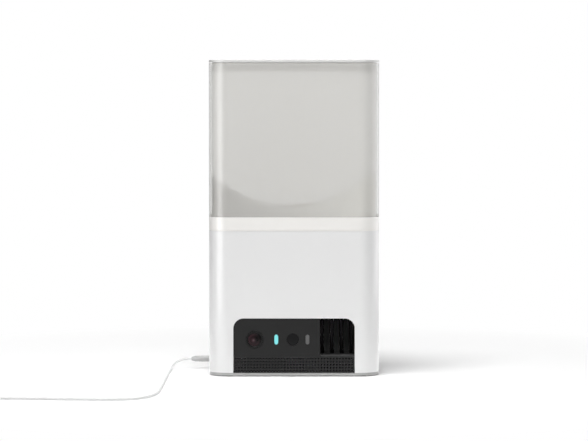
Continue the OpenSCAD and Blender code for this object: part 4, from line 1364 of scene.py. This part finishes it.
@dataclass
class Lead:
    """The power lead: its plug, its route on the floor, its coil with a tie, and the USB plug.

    The route, the tail and the coil are in millimetres, and the rest is in metres.
    """

    workshop: Workshop
    diameter: float = 1.8 * MM
    route: tuple[Triple, ...] = (
        (-89.5, 31, 8.5), (-94, 31, 8.3), (-98, 30.2, 7.6), (-102, 28, 6), (-104.5, 23, 3.8),
        (-106, 15, 2.1), (-106.5, 5, 1.2), (-107, -8, 1), (-107.5, -22, 1), (-107.5, -37, 1),
        (-107.5, -52, 1),
        (-108, -67, 1), (-108, -82, 1), (-108, -97, 1), (-108.5, -112, 1), (-108.5, -126, 1),
        (-109, -140, 1), (-109, -154, 1), (-110, -168, 1), (-112.5, -184, 1), (-117, -197, 1),
        (-124, -207, 1), (-133, -212, 1), (-144, -214, 1), (-158, -214, 1), (-175, -212.5, 1),
        (-193, -210, 1), (-211, -208, 1), (-229, -206.6, 1), (-243, -206, 1.2), (-257, -206, 1.5),
    )
    tail: tuple[Triple, ...] = (
        (-270, -193, 10.5), (-270, -184, 10.2), (-270, -176, 8.8), (-270, -169, 6.6),
        (-270, -163, 4.6), (-270, -158, 4), (-270, -154, 4),
    )
    coil_centre: Pair = (-257.0, -193.0)
    coil_radii: tuple[float, ...] = (13.0, 11.2, 9.4, 7.6)
    coil_turns: float = 23.25
    coil_foot: float = 1.5
    step_share: float = 0.16
    turn_points: int = 30
    moulding_r: float = 2.6 * MM
    moulding_length: float = 49.7 * MM
    neck_r: float = 1.3 * MM
    barrel_r: float = 1.75 * MM
    rib_depth: float = 0.22 * MM
    relief_length: float = 8 * MM
    grip: Triple = (16 * MM, 28 * MM, 8 * MM)
    groove: Triple = (1 * MM, 1.1 * MM, 4.4 * MM)
    plug_shell: Triple = (12 * MM, 12 * MM, 4.5 * MM)
    latch: Pair = (2.2 * MM, 2.3 * MM)
    tongue: Triple = (10.8 * MM, 12.4 * MM, 1.75 * MM)
    contact: Triple = (1 * MM, 8.6 * MM, 0.15 * MM)
    contacts: tuple[float, ...] = (-3.5 * MM, -1.0 * MM, 1.0 * MM, 3.5 * MM)

    def smooth(self, points: Sequence[Triple], steps: int) -> list[Vector]:
        """Run a smooth curve through points.

        Args:
            points: the points, in millimetres.
            steps: how many stretches each gap is cut into.

        Returns:
            The curve's points, in metres.
        """
        at = [Vector(p) * MM for p in points]
        line: list[Vector] = []
        for i in range(len(at) - 1):
            p0, p1, p2, p3 = at[max(i - 1, 0)], at[i], at[i + 1], at[min(i + 2, len(at) - 1)]
            for k in range(steps):
                t = k / steps
                line.append(
                    0.5 * (
                        2 * p1
                        + (p2 - p0) * t
                        + (2 * p0 - 5 * p1 + 4 * p2 - p3) * t**2
                        + (3 * p1 - p0 - 3 * p2 + p3) * t**3
                    )
                )
        return [*line, at[-1]]

    def winding(self) -> list[Vector]:
        """Wind the coil: rows on each other, each from the outside in or back out.

        Returns:
            The winding's points, in metres.
        """
        columns = len(self.coil_radii)
        pitch = self.diameter / MM
        line: list[Vector] = []
        for i in range(1, round(self.coil_turns * self.turn_points)):
            turn, part = divmod(i / self.turn_points, 1.0)
            row, column = divmod(int(turn), columns)
            inwards = row % 2 == 0
            place = column if inwards else columns - 1 - column
            radius = self.coil_radii[place]
            height = self.coil_foot + row * pitch
            step = max(0.0, (part - 1 + self.step_share) / self.step_share)
            step = step * step * (3 - 2 * step)
            if column == columns - 1:
                height += step * pitch
            else:
                radius += (-pitch if inwards else pitch) * step
            angle = -math.pi / 2 - math.tau * (turn + part)
            x = self.coil_centre[0] + radius * math.cos(angle)
            y = self.coil_centre[1] + radius * math.sin(angle)
            line.append(Vector((x, y, height)) * MM)
        return line

    def cord(self) -> tuple[Piece, list[Vector]]:
        """Lay the cord as one tube from plug to plug.

        Returns:
            The cord and the points that it follows.
        """
        line = [*self.smooth(self.route, 4), *self.winding(), *self.smooth(self.tail, 4)]
        curve = bpy.data.curves.new("lead_cord", "CURVE")
        curve.dimensions = "3D"
        curve.bevel_depth = self.diameter / 2
        curve.bevel_resolution = 3
        curve.use_fill_caps = True
        spline = curve.splines.new("POLY")
        spline.points.add(len(line) - 1)
        for point, at in zip(spline.points, line):
            point.co = (*at, 1.0)
        cord = bpy.data.objects.new("lead_cord", curve)
        bpy.context.scene.collection.objects.link(cord)
        return cord, line

    def power_plug(self) -> None:
        """Turn the straight moulding in the housing's recess, and the barrel in the jack."""
        low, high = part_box("power_plug")
        centre_y, centre_z = (low.y + high.y) / 2, (low.z + high.z) / 2
        neck, full, r = self.neck_r, self.moulding_length, self.moulding_r
        ribs: list[Pair] = []
        for i in range(3):
            start = (4.4 + 1.5 * i) * MM
            ribs += [
                (r, start),
                (r - self.rib_depth, start + 0.15 * MM),
                (r - self.rib_depth, start + 0.6 * MM),
                (r, start + 0.75 * MM),
            ]
        outline = [
            (neck, 0.0),
            (neck + 0.25 * MM, 0.1 * MM),
            (r - 0.35 * MM, 2.7 * MM),
            (r - 0.05 * MM, 3.4 * MM),
            *ribs,
            (r, full - 0.5 * MM),
            (r - 0.12 * MM, full - 0.15 * MM),
            (r - 0.4 * MM, full),
        ]
        place = (low.x, centre_y, centre_z)
        moulding = turned("plug_moulding", outline, place, Facing.RIGHT, 48)
        self.workshop.finish(moulding, Slot.PLUG, replaces=["power_plug"])
        end, b = high.x - low.x - full, self.barrel_r
        outline = [
            (b, 0),
            (b, end - 1.2 * MM),
            (b - 0.35 * MM, end - 0.2 * MM),
            (b - 0.6 * MM, end),
        ]
        place = (low.x + full, centre_y, centre_z)
        self.workshop.finish(turned("plug_barrel", outline, place, Facing.RIGHT, 40), Slot.SHAFT)

    def usb_moulding(self, start: Vector, front: float) -> Piece:
        """Model the far plug's grooved grip, and the relief that the cord runs into.

        Args:
            start: where the cord ends.
            front: the grip's end in Y.

        Returns:
            The moulding.
        """
        x, y, z = start
        w, _, h = self.grip
        back = y + self.relief_length
        outline = [
            (self.neck_r, 0),
            (self.neck_r + 0.4 * MM, 2 * MM),
            (self.moulding_r, self.relief_length),
        ]
        relief = turned("relief", outline, start, Facing.BACK, 32)
        grip = block("grip", (x - w / 2, back, z - h / 2), (x + w / 2, front, z + h / 2))
        round_edges(grip, along(1), 2.6 * MM, 6)
        round_edges(grip, level(1, back), 1.6 * MM, 4)
        round_edges(grip, level(1, front), 0.5 * MM, 2)
        gw, gl, gh = self.groove
        for i in range(4):
            at = y + (16 + 2.6 * i) * MM
            for side in (x - w / 2, x + w / 2):
                low, high = (side - gw / 2, at, z - gh / 2), (side + gw / 2, at + gl, z + gh / 2)
                cut(grip, block("groove", low, high))
        moulding = join("usb_moulding", [grip, relief])
        return self.workshop.finish(moulding, Slot.USB, replaces=["usb_plug"])

    def usb_shell(self, x: float, front: float, z: float) -> Piece:
        """Fold the far plug's plated shell, with its two latch holes.

        Args:
            x: the plug's axis in X.
            front: where the shell starts in Y.
            z: the plug's axis in Z.

        Returns:
            The shell.
        """
        w, length, h = self.plug_shell
        low, high = (x - w / 2, front, z - h / 2), (x + w / 2, front + length, z + h / 2)
        shell = block("usb_shell", low, high)
        round_edges(shell, along(1), 0.4 * MM, 3)
        with editing(shell, "FACE"):
            choose_faces(shell, lambda middle, normal: abs(normal.y) > 0.9)
            bpy.ops.mesh.delete(type="FACE")
        apply_modifier(shell, "SOLIDIFY", thickness=0.35 * MM, offset=-1.0, use_even_offset=True)
        half, near = self.latch[0] / 2, front + 4.5 * MM
        far = near + self.latch[1]
        for middle in (x - 2.9 * MM, x + 2.9 * MM):
            cut(shell, block("latch", (middle - half, near, z), (middle + half, far, z + h)))
        return self.workshop.finish(shell, Slot.SHAFT)

    def usb_inside(self, x: float, front: float, z: float) -> list[Piece]:
        """Model the far plug's tongue and the contacts on it.

        Args:
            x: the plug's axis in X.
            front: where the shell starts in Y.
            z: the plug's axis in Z.

        Returns:
            The tongue and the contacts.
        """
        w, length, h = self.tongue
        top, tip = z - 0.1 * MM, front - 1 * MM + length
        tongue = block("usb_tongue", (x - w / 2, front - 1 * MM, top - h), (x + w / 2, tip, top))
        round_edges(tongue, level(1, tip), 0.3 * MM, 2)
        tongue = self.workshop.finish(tongue, Slot.CHIP)
        w, length, h = self.contact
        start = front + 1 * MM
        pin = block("pin", (x - w / 2, start, top), (x + w / 2, start + length, top + h))
        round_edges(pin, along(1), 0.05 * MM, 1)
        pins = copies(pin, [(off, 0, 0) for off in self.contacts])
        return [tongue, self.workshop.finish(join("usb_contacts", pins), Slot.BRASS)]

    def usb_plug(self) -> list[Piece]:
        """Model the plug at the far end: relief, grip, plated shell, tongue and contacts.

        Returns:
            The pieces of the plug.
        """
        start = Vector(self.tail[-1]) * MM
        front = start.y + self.relief_length + self.grip[1]
        moulding = self.usb_moulding(start, front)
        shell = self.usb_shell(start.x, front, start.z)
        return [moulding, shell, *self.usb_inside(start.x, front, start.z)]

    def tie(self) -> Piece:
        """Wrap the hook and loop strap round the coil.

        Returns:
            The strap.
        """
        low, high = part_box("cord_tie")
        strap = block("cord_strap", low, high)
        round_edges(strap, along(0), 1.1 * MM, 5)
        off = Vector((-1 * MM, 0.6 * MM, 0.6 * MM))
        inner = block("inner", low + off, high - off)
        round_edges(inner, along(0), 0.7 * MM, 5)
        cut(strap, inner)
        free_end = block(
            "free_end",
            (low.x + 0.4 * MM, high.y - 0.62 * MM, low.z + 2 * MM),
            (high.x - 0.4 * MM, high.y - 0.02 * MM, high.z - 1.6 * MM),
        )
        round_edges(free_end, along(1), 1.6 * MM, 5)
        strap = join("cord_strap", [strap, free_end])
        return self.workshop.finish(strap, Slot.TIE, replaces=["cord_tie"])

    def build(self) -> None:
        cord, line = self.cord()
        self.workshop.finish(cord, Slot.CORD, replaces=["power_cord", "cord_coil", "cord_tail"])
        self.power_plug()
        pieces = [*self.usb_plug(), self.tie()]


# ---- Screws ----


@dataclass
class ScrewSet:
    """Screws of one size that point the same way, each with a cross in its head.

    The places are in millimetres, where a screw's head meets what it holds.
    """

    workshop: Workshop
    node: str
    body: Body
    places: Sequence[Triple]
    facing: Facing
    shank_r: float
    length: float
    head_r: float
    head_h: float

    def build(self) -> None:
        """Model one screw, copy it to every place and join the set."""
        r, hr, hh, tip = self.shank_r, self.head_r, self.head_h, self.length
        thread: list[Pair] = []
        pitch = 0.45 * r
        height = 0.3 * tip
        while height < tip - 1.5 * r:
            thread += [(r, height), (0.84 * r, height + pitch / 2)]
            height += pitch
        outline = [
            (0.72 * hr, -hh),
            (0.93 * hr, -0.86 * hh),
            (hr, -0.55 * hh),
            (hr, 0.0),
            (0.9 * r, 0.0),
            *thread,
            (0.84 * r, tip - 1.2 * r),
            (0.25 * r, tip),
        ]
        pattern = turned("screw", outline, (0, 0, 0), Facing.UP, 28)
        arm, depth = 0.62 * hr, 0.55 * hh
        for x, y in ((0.13 * hr, arm), (arm, 0.13 * hr)):
            cut(pattern, block("cross", (-x, -y, -hh - depth), (x, y, -hh + depth)))
        pattern.rotation_euler = self.facing.value
        fix_place(pattern)
        screws = copies(pattern, [Vector(place) * MM for place in self.places])
        screws = join(self.node + "_crosshead", screws)
        self.workshop.finish(screws, Slot.SCREW, self.body, [self.node])


# ---- Housing ----


@dataclass
class Housing:
    """The white lower housing with its grey base, feet and screws."""

    workshop: Workshop
    edge: float = 0.35 * MM
    base_corner: float = 16.5 * MM
    base_edge: float = 0.4 * MM
    foot_r: float = 6 * MM
    foot_gap: float = 0.1 * MM
    sink_r: float = 3.1 * MM
    channel: Pair = (76 * MM, 28 * MM)
    channel_depth: float = 0.35 * MM
    feet: tuple[Pair, ...] = ((-56.5, -26), (56.5, -26), (-56.5, 26), (56.5, 26))
    screws: tuple[Pair, ...] = ((-66.65, -12), (66.65, -12), (-66.65, 12), (66.65, 12))

    def base(self) -> None:
        """Model the base plate with its rounded lower edge and its recesses."""
        low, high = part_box("base_plate")
        plate = rounded_slab("base_tray", low, high, self.base_corner)
        round_edges(plate, level(2, low.z), self.base_edge, 5)
        round_edges(plate, level(2, high.z), 0.15 * MM, 1)
        under = low.z - 0.8 * MM
        r = self.foot_r + self.foot_gap
        for x, y in self.feet:
            cut(plate, turned("well", [(r, 0), (r, 1.6 * MM)], (x * MM, y * MM, under)))
        r = self.sink_r
        for x, y in self.screws:
            cut(plate, turned("sink", [(r, 0), (r, 2.2 * MM)], (x * MM, y * MM, under), sides=40))
        w, d = self.channel
        channel = block(
            "channel",
            (-w / 2, -d / 2, low.z - 1 * MM),
            (w / 2, d / 2, low.z + self.channel_depth),
        )
        round_edges(channel, along(2), 3 * MM, 6)
        cut(plate, channel)
        self.workshop.finish(plate, Slot.BASE, replaces=["base_plate"])

    def rubber_feet(self) -> None:
        """Turn the rubber feet, each with a ring groove in its sole."""
        low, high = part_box("base_feet")
        r, h = self.foot_r, high.z - low.z
        outline = [
            (1.6 * MM, 0.35 * MM),
            (2.0 * MM, 0.0),
            (r - 2.2 * MM, 0.0),
            (r - 2.0 * MM, 0.3 * MM),
            (r - 1.4 * MM, 0.3 * MM),
            (r - 1.2 * MM, 0.0),
            (r - 0.35 * MM, 0.0),
            (r - 0.08 * MM, 0.14 * MM),
            (r, 0.4 * MM),
            (r, h),
        ]
        pattern = turned("foot", outline, (0, 0, low.z))
        feet = copies(pattern, [(x * MM, y * MM, 0) for x, y in self.feet])
        self.workshop.finish(join("soft_feet", feet), Slot.FOOT, replaces=["base_feet"])

    def build(self) -> None:
        """Model and dress the housing."""
        self.workshop.soften("body_shell", "white_shell", Slot.SHELL, edge=self.edge, crease=50)
        self.base()
        self.rubber_feet()
        ScrewSet(
            self.workshop,
            "base_screws",
            Body.HOUSING,
            [(x, y, 2.2) for x, y in self.screws],
            Facing.UP,
            shank_r=1.4 * MM,
            length=9 * MM,
            head_r=2.8 * MM,
            head_h=1.4 * MM,
        ).build()


# ---- Collar, container and lid ----


@dataclass
class TreatStore:
    """The milky collar, the smoky container, the hopper in it and the lid on it."""

    workshop: Workshop
    corner: float = 17 * MM
    wall: float = 2.4 * MM
    rim: float = 0.12 * MM
    cap_edge: float = 0.5 * MM
    bore_r: float = 1.05 * MM
    seal_inset: float = 2.7 * MM
    seal_wall: float = 1.3 * MM
    seal_edge: float = 0.45 * MM
    lid_screws: tuple[Pair, ...] = ((-54.5, -25), (54.5, -25), (-54.5, 25), (54.5, 25))
    collar_screws: tuple[Pair, ...] = (
        (-63.773, -28.273), (63.773, -28.273), (-63.773, 28.273), (63.773, 28.273),
    )

    def container(self) -> None:
        """Model the tall container with its softened rims."""
        low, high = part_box("container")
        tube = rounded_tube("treat_container", low, high, self.corner, self.wall, self.rim)
        self.workshop.finish(tube, Slot.CONTAINER, replaces=["container"])

    def cap(self) -> None:
        """Model the lid's cap, with its soft upper edge and the bores for its screws."""
        low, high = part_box("lid_cap")
        cap = rounded_slab("lid_top", low, high, self.corner, 20)
        round_edges(cap, level(2, high.z), self.cap_edge, 5)
        round_edges(cap, level(2, low.z), 0.06 * MM, 1)
        under, r = low.z - 1 * MM, self.bore_r
        for x, y in self.lid_screws:
            cut(cap, turned("bore", [(r, 0), (r, 2.4 * MM)], (x * MM, y * MM, under), sides=32))
        self.workshop.finish(cap, Slot.LID, Body.LID, ["lid_cap"])

    def seal(self) -> None:
        """Model the gasket round the lid's plug."""
        low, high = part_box("lid_gasket")
        corner = self.corner - self.seal_inset
        ring = rounded_tube("lid_seal", low, high, corner, self.seal_wall, self.seal_edge)
        self.workshop.finish(ring, Slot.GASKET, Body.LID, ["lid_gasket"])

    def lid(self) -> None:
        """Build the lid: the cap, the plug under it, the gasket round that and the screws."""
        self.cap()
        self.workshop.soften("lid_plug", "lid_skirt", Slot.LID_PLUG, Body.LID, 0.3 * MM)
        self.seal()
        ScrewSet(
            self.workshop,
            "lid_screws",
            Body.LID,
            [(x, y, 265.2) for x, y in self.lid_screws],
            Facing.UP,
            shank_r=1.0 * MM,
            length=2.8 * MM,
            head_r=2.0 * MM,
            head_h=1.2 * MM,
        ).build()

    def build(self) -> None:
        """Model and dress the store."""
        self.workshop.soften("collar", "milky_collar", Slot.COLLAR, edge=0.25 * MM, crease=50)
        self.workshop.soften("hopper_floor", "treat_slide", Slot.HOPPER, edge=0.3 * MM, crease=50)
        self.container()
        self.lid()
        ScrewSet(
            self.workshop,
            "collar_screws",
            Body.HOUSING,
            [(x, y, 121.4) for x, y in self.collar_screws],
            Facing.UP,
            shank_r=1.4 * MM,
            length=8.1 * MM,
            head_r=2.8 * MM,
            head_h=1.4 * MM,
        ).build()


# ---- Front ----


@dataclass
class FrontPanel:
    """The dark panel with its windows, the sound holes and what stands behind them."""

    workshop: Workshop
    flange: float = 1.0 * MM
    flange_rim: float = 1.0 * MM
    grille_face: Triple = grey(0.0115)
    cone_rings: tuple[Pair, ...] = ((1.1, 0.0), (0.5, -0.35), (0.5, 0.35), (0.9, 0.45))

    def window(self, node: str, name: str, slot: Slot) -> None:
        """Model a pill shaped window with the flange that holds it.

        Args:
            node: the node that it replaces.
            name: its name.
            slot: its material slot.
        """
        low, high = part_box(node)
        middle = ((low.x + high.x) / 2, (low.z + high.z) / 2)
        whole = (high.x - low.x, high.z - low.z)
        size = (whole[0] - 2 * self.flange_rim, whole[1] - 2 * self.flange_rim)
        seat = high.y - self.flange
        face = pill_plate(name, middle, size, (low.y, seat + 0.1 * MM), 0.3 * MM)
        wide = pill_plate("flange", middle, whole, (seat, high.y), 0.1 * MM)
        self.workshop.finish(join(name, [face, wide]), slot, replaces=[node])

    def sensor(self) -> None:
        """Turn the round dark window with its slightly raised face."""
        low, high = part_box("sensor_window")
        wide = (high.x - low.x) / 2
        r, depth = wide - 1.2 * MM, high.y - low.y
        outline = [
            (wide, 0),
            (wide, 0.9 * MM),
            (wide - 0.1 * MM, self.flange),
            (r, self.flange),
            (r, depth - 0.25 * MM),
            (r - 0.25 * MM, depth - 0.02 * MM),
            (r - 0.5 * MM, depth - 0.02 * MM),
            (r - 0.62 * MM, depth - 0.12 * MM),
            (0.6 * r, depth - 0.06 * MM),
            (0.25 * r, depth - 0.03 * MM),
        ]
        place = ((low.x + high.x) / 2, high.y, (low.z + high.z) / 2)
        face = turned("sensor_face", outline, place, Facing.FRONT)
        self.workshop.finish(face, Slot.SENSOR, replaces=["sensor_window"])

    def speaker(self) -> None:
        """Model the speaker's cone with its surround and its basket."""
        low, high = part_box("speaker_cone")
        middle_z = (low.z + high.z) / 2
        cone = rounded_slab("speaker_cone_paper", low, high, 1 * MM, 2)
        with editing(cone, "FACE"):
            for thickness, push in self.cone_rings:
                choose_faces(
                    cone,
                    lambda mid, normal: normal.y < -0.99 and abs(mid.z - middle_z) < 1 * MM,
                )
                bpy.ops.mesh.inset(thickness=thickness * MM)
                bpy.ops.transform.translate(value=(0, push * MM, 0))
        face_outwards(cone)
        self.workshop.finish(cone, Slot.CONE, replaces=["speaker_cone"])
        self.workshop.soften("speaker_frame", "speaker_basket", Slot.SPEAKER, edge=0.2 * MM)
        self.workshop.soften("speaker_magnet", "speaker_yoke", Slot.MOTOR, edge=0.25 * MM)

    def grille(self) -> None:
        """Smooth the strip with the sound holes, and paint shade into their walls, darker deeper
        in.
        """
        holes = self.workshop.soften("speaker_grille", "sound_holes", Slot.PANEL, crease=60)
        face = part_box("speaker_grille")[0].y
        # Painted shade in the sound holes: their walls go from the face's colour to nine tenths
        # darker within 0.4 mm behind the face.
        bored = TintedPlastic(
            self.grille_face,
            shade(self.grille_face, 0.9),
            "Y",
            face + 0.1 * MM,
            face + 0.4 * MM,
            roughness=0.42,
            gloss=0.16,
            waver=0.02 * MM,
        )
        holes.data.materials[0] = bored.make("panel_dark_hole_shade")

    def build(self) -> None:
        """Model and dress the front."""
        self.workshop.soften("front_panel", "dark_panel", Slot.PANEL, edge=0.2 * MM)
        self.grille()
        self.window("light_pipe", "status_light", Slot.LIGHT)
        self.window("pill_window", "pill_face", Slot.PILL)
        self.sensor()
        self.speaker()
        self.workshop.dress({"led_board": Slot.BOARD, "chassis": Slot.CHASSIS})


@dataclass
class CameraUnit:
    """The lens with its ring, its front glass, its inner elements and its board."""

    workshop: Workshop
    ring_r: float = 7.5 * MM
    bore_r: float = 5.65 * MM
    stop_r: float = 4.8 * MM
    glass_r: float = 5.6 * MM
    trim_seat: float = 0.34 * MM
    holder_side: float = 14 * MM
    holder_depth: float = 10 * MM
    tube_r: float = 4.4 * MM
    tube_bore: float = 1.9 * MM
    funnel_in: float = 0.42 * MM
    funnel_down: float = 0.45 * MM
    element_r: float = 1.95 * MM

    def ring(self) -> None:
        """Turn the black ring with its stepped bore, and the thin trim inside it."""
        low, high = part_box("lens_ring")
        place = ((low.x + high.x) / 2, high.y, (low.z + high.z) / 2)
        depth = high.y - low.y
        wide, r, b, s = (high.x - low.x) / 2, self.ring_r, self.bore_r, self.stop_r
        outline = [
            (s, 0),
            (wide, 0),
            (wide, 1.1 * MM),
            (wide - 0.1 * MM, 1.2 * MM),
            (r, 1.2 * MM),
            (r, depth - 0.3 * MM),
            (r - 0.1 * MM, depth - 0.08 * MM),
            (r - 0.3 * MM, depth),
            (b + 1.5 * MM, depth),
            (b + 1.4 * MM, depth - 0.06 * MM),
            (b + 1.35 * MM, depth - 0.3 * MM),
            (b + 1.35 * MM, depth - 1.1 * MM),
            (b, depth - 1.1 * MM),
            (b, depth - 1.6 * MM),
            (s, depth - 1.6 * MM),
            (s, 0),
        ]
        ring = turned("lens_surround", outline, place, Facing.FRONT, 96, bored=True)
        self.workshop.finish(ring, Slot.RING, replaces=["lens_ring"])
        t = depth - self.trim_seat
        outline = [
            (b + 0.3 * MM, t - 0.78 * MM),
            (b + 1.3 * MM, t - 0.78 * MM),
            (b + 1.3 * MM, t + 0.14 * MM),
            (b + 1.2 * MM, t + 0.24 * MM),
            (b + 0.85 * MM, t + 0.24 * MM),
            (b + 0.3 * MM, t - 0.45 * MM),
            (b + 0.3 * MM, t - 0.78 * MM),
        ]
        trim = turned("lens_trim", outline, place, Facing.FRONT, 96, bored=True)
        self.workshop.finish(trim, Slot.PANEL)

    def glass(self) -> None:
        """Turn the front glass, domed towards the front."""
        low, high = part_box("lens_glass")
        r, depth = self.glass_r, high.y - low.y
        dome = [
            (r * math.cos(a), 0.55 * depth + 0.45 * depth * math.sin(a))
            for a in map(math.radians, (0, 12, 25, 40, 55, 70, 82))
        ]
        place = ((low.x + high.x) / 2, high.y, (low.z + high.z) / 2)
        piece = turned("lens_front", [(r, 0), *dome], place, Facing.FRONT, 96)
        self.workshop.finish(piece, Slot.LENS, replaces=["lens_glass"], crease=50)

    def barrel(self) -> None:
        """Turn the barrel with its stepped funnel, and stand its small front element in it."""
        low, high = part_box("lens_barrel")
        x, z = (low.x + high.x) / 2, (low.z + high.z) / 2
        seat = high.y - self.holder_depth
        half = self.holder_side / 2
        holder = block("holder", (x - half, seat, z - half), (x + half, high.y, z + half))
        round_edges(holder, along(1), 1.2 * MM, 4)
        round_edges(holder, level(1, seat), 0.5 * MM, 2)
        depth, r = seat - low.y, self.tube_r
        mouth = r - 0.5 * MM
        funnel = [
            (mouth - i // 2 * self.funnel_in, depth - (i + 1) // 4 * self.funnel_down)
            for i in range(8)
        ]
        outline = [
            (2.0 * MM, 0),
            (r, 0),
            (r, depth - 0.2 * MM),
            (r - 0.2 * MM, depth),
            *funnel,
            (self.tube_bore, depth - 2.4 * MM),
            (2.0 * MM, 0),
        ]
        tube = turned("tube", outline, (x, seat, z), Facing.FRONT, 72, bored=True)
        barrel = join("lens_tube", [holder, tube])
        self.workshop.finish(barrel, Slot.BARREL, replaces=["lens_barrel"])
        bulge = [
            (self.element_r * math.cos(a), depth - 2.6 * MM + 0.9 * MM * math.sin(a))
            for a in map(math.radians, (0, 15, 30, 45, 60, 75, 85))
        ]
        outline = [(self.element_r, 0.5 * MM), *bulge]
        element = turned("lens_element", outline, (x, seat, z), Facing.FRONT, 48)
        self.workshop.finish(element, Slot.RING, crease=50)

    def build(self) -> None:
        """Model and dress the camera."""
        self.ring()
        self.glass()
        self.barrel()
        self.workshop.dress({"camera_board": Slot.BOARD})


# ---- Mechanisms ----


@dataclass
class Motor:
    """A small motor: a drawn can with a rolled edge, its boss and its shaft's bush."""

    workshop: Workshop
    node: str
    edge: float = 0.4 * MM

    def build(self) -> None:
        """Dress the motor."""
        self.workshop.soften(self.node, f"{self.node}_can", Slot.MOTOR, edge=self.edge)


@dataclass
class Feeder:
    """What measures out one treat at a time, and the chute under it."""

    workshop: Workshop

    def build(self) -> None:
        """Model and dress the feeder."""
        soften = self.workshop.soften
        soften("feed_deck", "feed_shelf", Slot.INNER, edge=0.2 * MM)
        soften("metering_housing", "wheel_cup", Slot.INNER, edge=0.2 * MM)
        soften("wheel_cover", "wheel_lid", Slot.INNER, edge=0.2 * MM)
        soften("metering_wheel", "pocket_wheel", Slot.WHEEL, Body.WHEEL, 0.2 * MM, 55)
        soften("drop_chute", "treat_chute", Slot.INNER, edge=0.3 * MM)
        Motor(self.workshop, "feed_motor").build()
        self.workshop.dress(
            {"wheel_axle": Slot.SHAFT, "feed_pinion": Slot.GEAR, "feed_motor_shaft": Slot.SHAFT}
        )


@dataclass
class Launcher:
    """The black chamber, the fingers that throw, and their gears."""

    workshop: Workshop
    plate_face: float = 8.25
    posts: tuple[Pair, ...] = ((26, 12), (-10, 20), (24, 48.1205), (-7.988457, 46.0205))

    def build(self) -> None:
        """Model and dress the launcher."""
        soften = self.workshop.soften
        soften("launch_chamber", "throwing_chamber", Slot.CHAMBER, edge=0.2 * MM, crease=50)
        soften("thrower", "thrower_fingers", Slot.THROWER, Body.THROWER, 0.35 * MM)
        soften("gear_plate", "gear_side_plate", Slot.CHASSIS, edge=0.3 * MM)
        Motor(self.workshop, "throw_motor").build()
        self.workshop.dress(
            {
                "thrower_shaft": Slot.SHAFT,
                "thrower_spring": Slot.SPRING,
                "sector_gear": Slot.GEAR,
                "drive_gear": Slot.GEAR,
                "drive_gear_pin": Slot.SHAFT,
                "throw_pinion": Slot.BRASS,
                "throw_motor_shaft": Slot.SHAFT,
            }
        )
        ScrewSet(
            self.workshop,
            "gear_plate_screws",
            Body.HOUSING,
            [(self.plate_face, y, z) for y, z in self.posts],
            Facing.RIGHT,
            shank_r=1.0 * MM,
            length=8 * MM,
            head_r=2.0 * MM,
            head_h=1.2 * MM,
        ).build()


# ---- Electronics ----


@dataclass
class Electronics:
    """The main board with its parts, the jack, the antenna and the set-up button."""

    workshop: Workshop
    travel: float = 1 * MM
    button_seat: float = 34.8 * MM
    board_screws: tuple[Pair, ...] = ((-55.5, 24.7), (-2.5, 24.7), (-55.5, 93.7), (-2.5, 93.7))

    def button(self) -> None:
        """Turn the set-up button with its dished face."""
        low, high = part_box("setup_button")
        wide = (high.x - low.x) / 2
        r, length = wide - 1.4 * MM, high.y - low.y
        seat = self.button_seat - low.y
        outline = [
            (r, 0),
            (r, seat - 1 * MM),
            (wide, seat - 1 * MM),
            (wide, seat),
            (r, seat),
            (r, length - 0.4 * MM),
            (r - 0.12 * MM, length - 0.12 * MM),
            (r - 0.4 * MM, length),
            (r - 0.6 * MM, length - 0.05 * MM),
            (0.6 * r, length - 0.3 * MM),
            (0.25 * r, length - 0.38 * MM),
        ]
        place = ((low.x + high.x) / 2, low.y, (low.z + high.z) / 2)
        key = turned("setup_key", outline, place, Facing.BACK, 48)
        self.workshop.finish(key, Slot.BUTTON, Body.BUTTON, ["setup_button"])

    def spring(self) -> None:
        """Smooth the spring behind the button, and give it a mesh of its own."""
        coil = self.workshop.soften("button_spring", "key_spring", Slot.SPRING)
        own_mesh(coil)

    def build(self) -> None:
        """Model and dress the electronics."""
        self.workshop.soften("board_chips", "board_packages", Slot.CHIP, edge=0.2 * MM)
        self.workshop.soften("power_jack", "jack_body", Slot.CHIP, edge=0.25 * MM)
        self.button()
        self.spring()
        self.workshop.dress({"main_board": Slot.BOARD, "antenna": Slot.ANTENNA})
        board_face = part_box("main_board")[0].y / MM
        ScrewSet(
            self.workshop,
            "board_screws",
            Body.HOUSING,
            [(x, board_face, z) for x, z in self.board_screws],
            Facing.BACK,
            shank_r=1.0 * MM,
            length=5.6 * MM,
            head_r=2.0 * MM,
            head_h=1.2 * MM,
        ).build()


# ---- The whole ----


@dataclass
class PetCamera:
    """The whole object, in the order that it is built."""

    workshop: Workshop

    def build(self) -> None:
        """Build every sub-assembly, the lead first."""
        for kind in (
            Lead, Housing, TreatStore, FrontPanel, CameraUnit, Feeder, Launcher, Electronics
        ):
            kind(self.workshop).build()
            LOG.info("%s is done", kind.__name__)


def main() -> None:
    """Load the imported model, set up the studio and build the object."""
    logging.basicConfig(level=logging.INFO, format="%(message)s")
    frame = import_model()
    Studio().build()
    PetCamera(Workshop(Palette(finishes()), frame["nodes"])).build()
    bpy.context.view_layer.update()


if __name__ == "__main__":
    main()
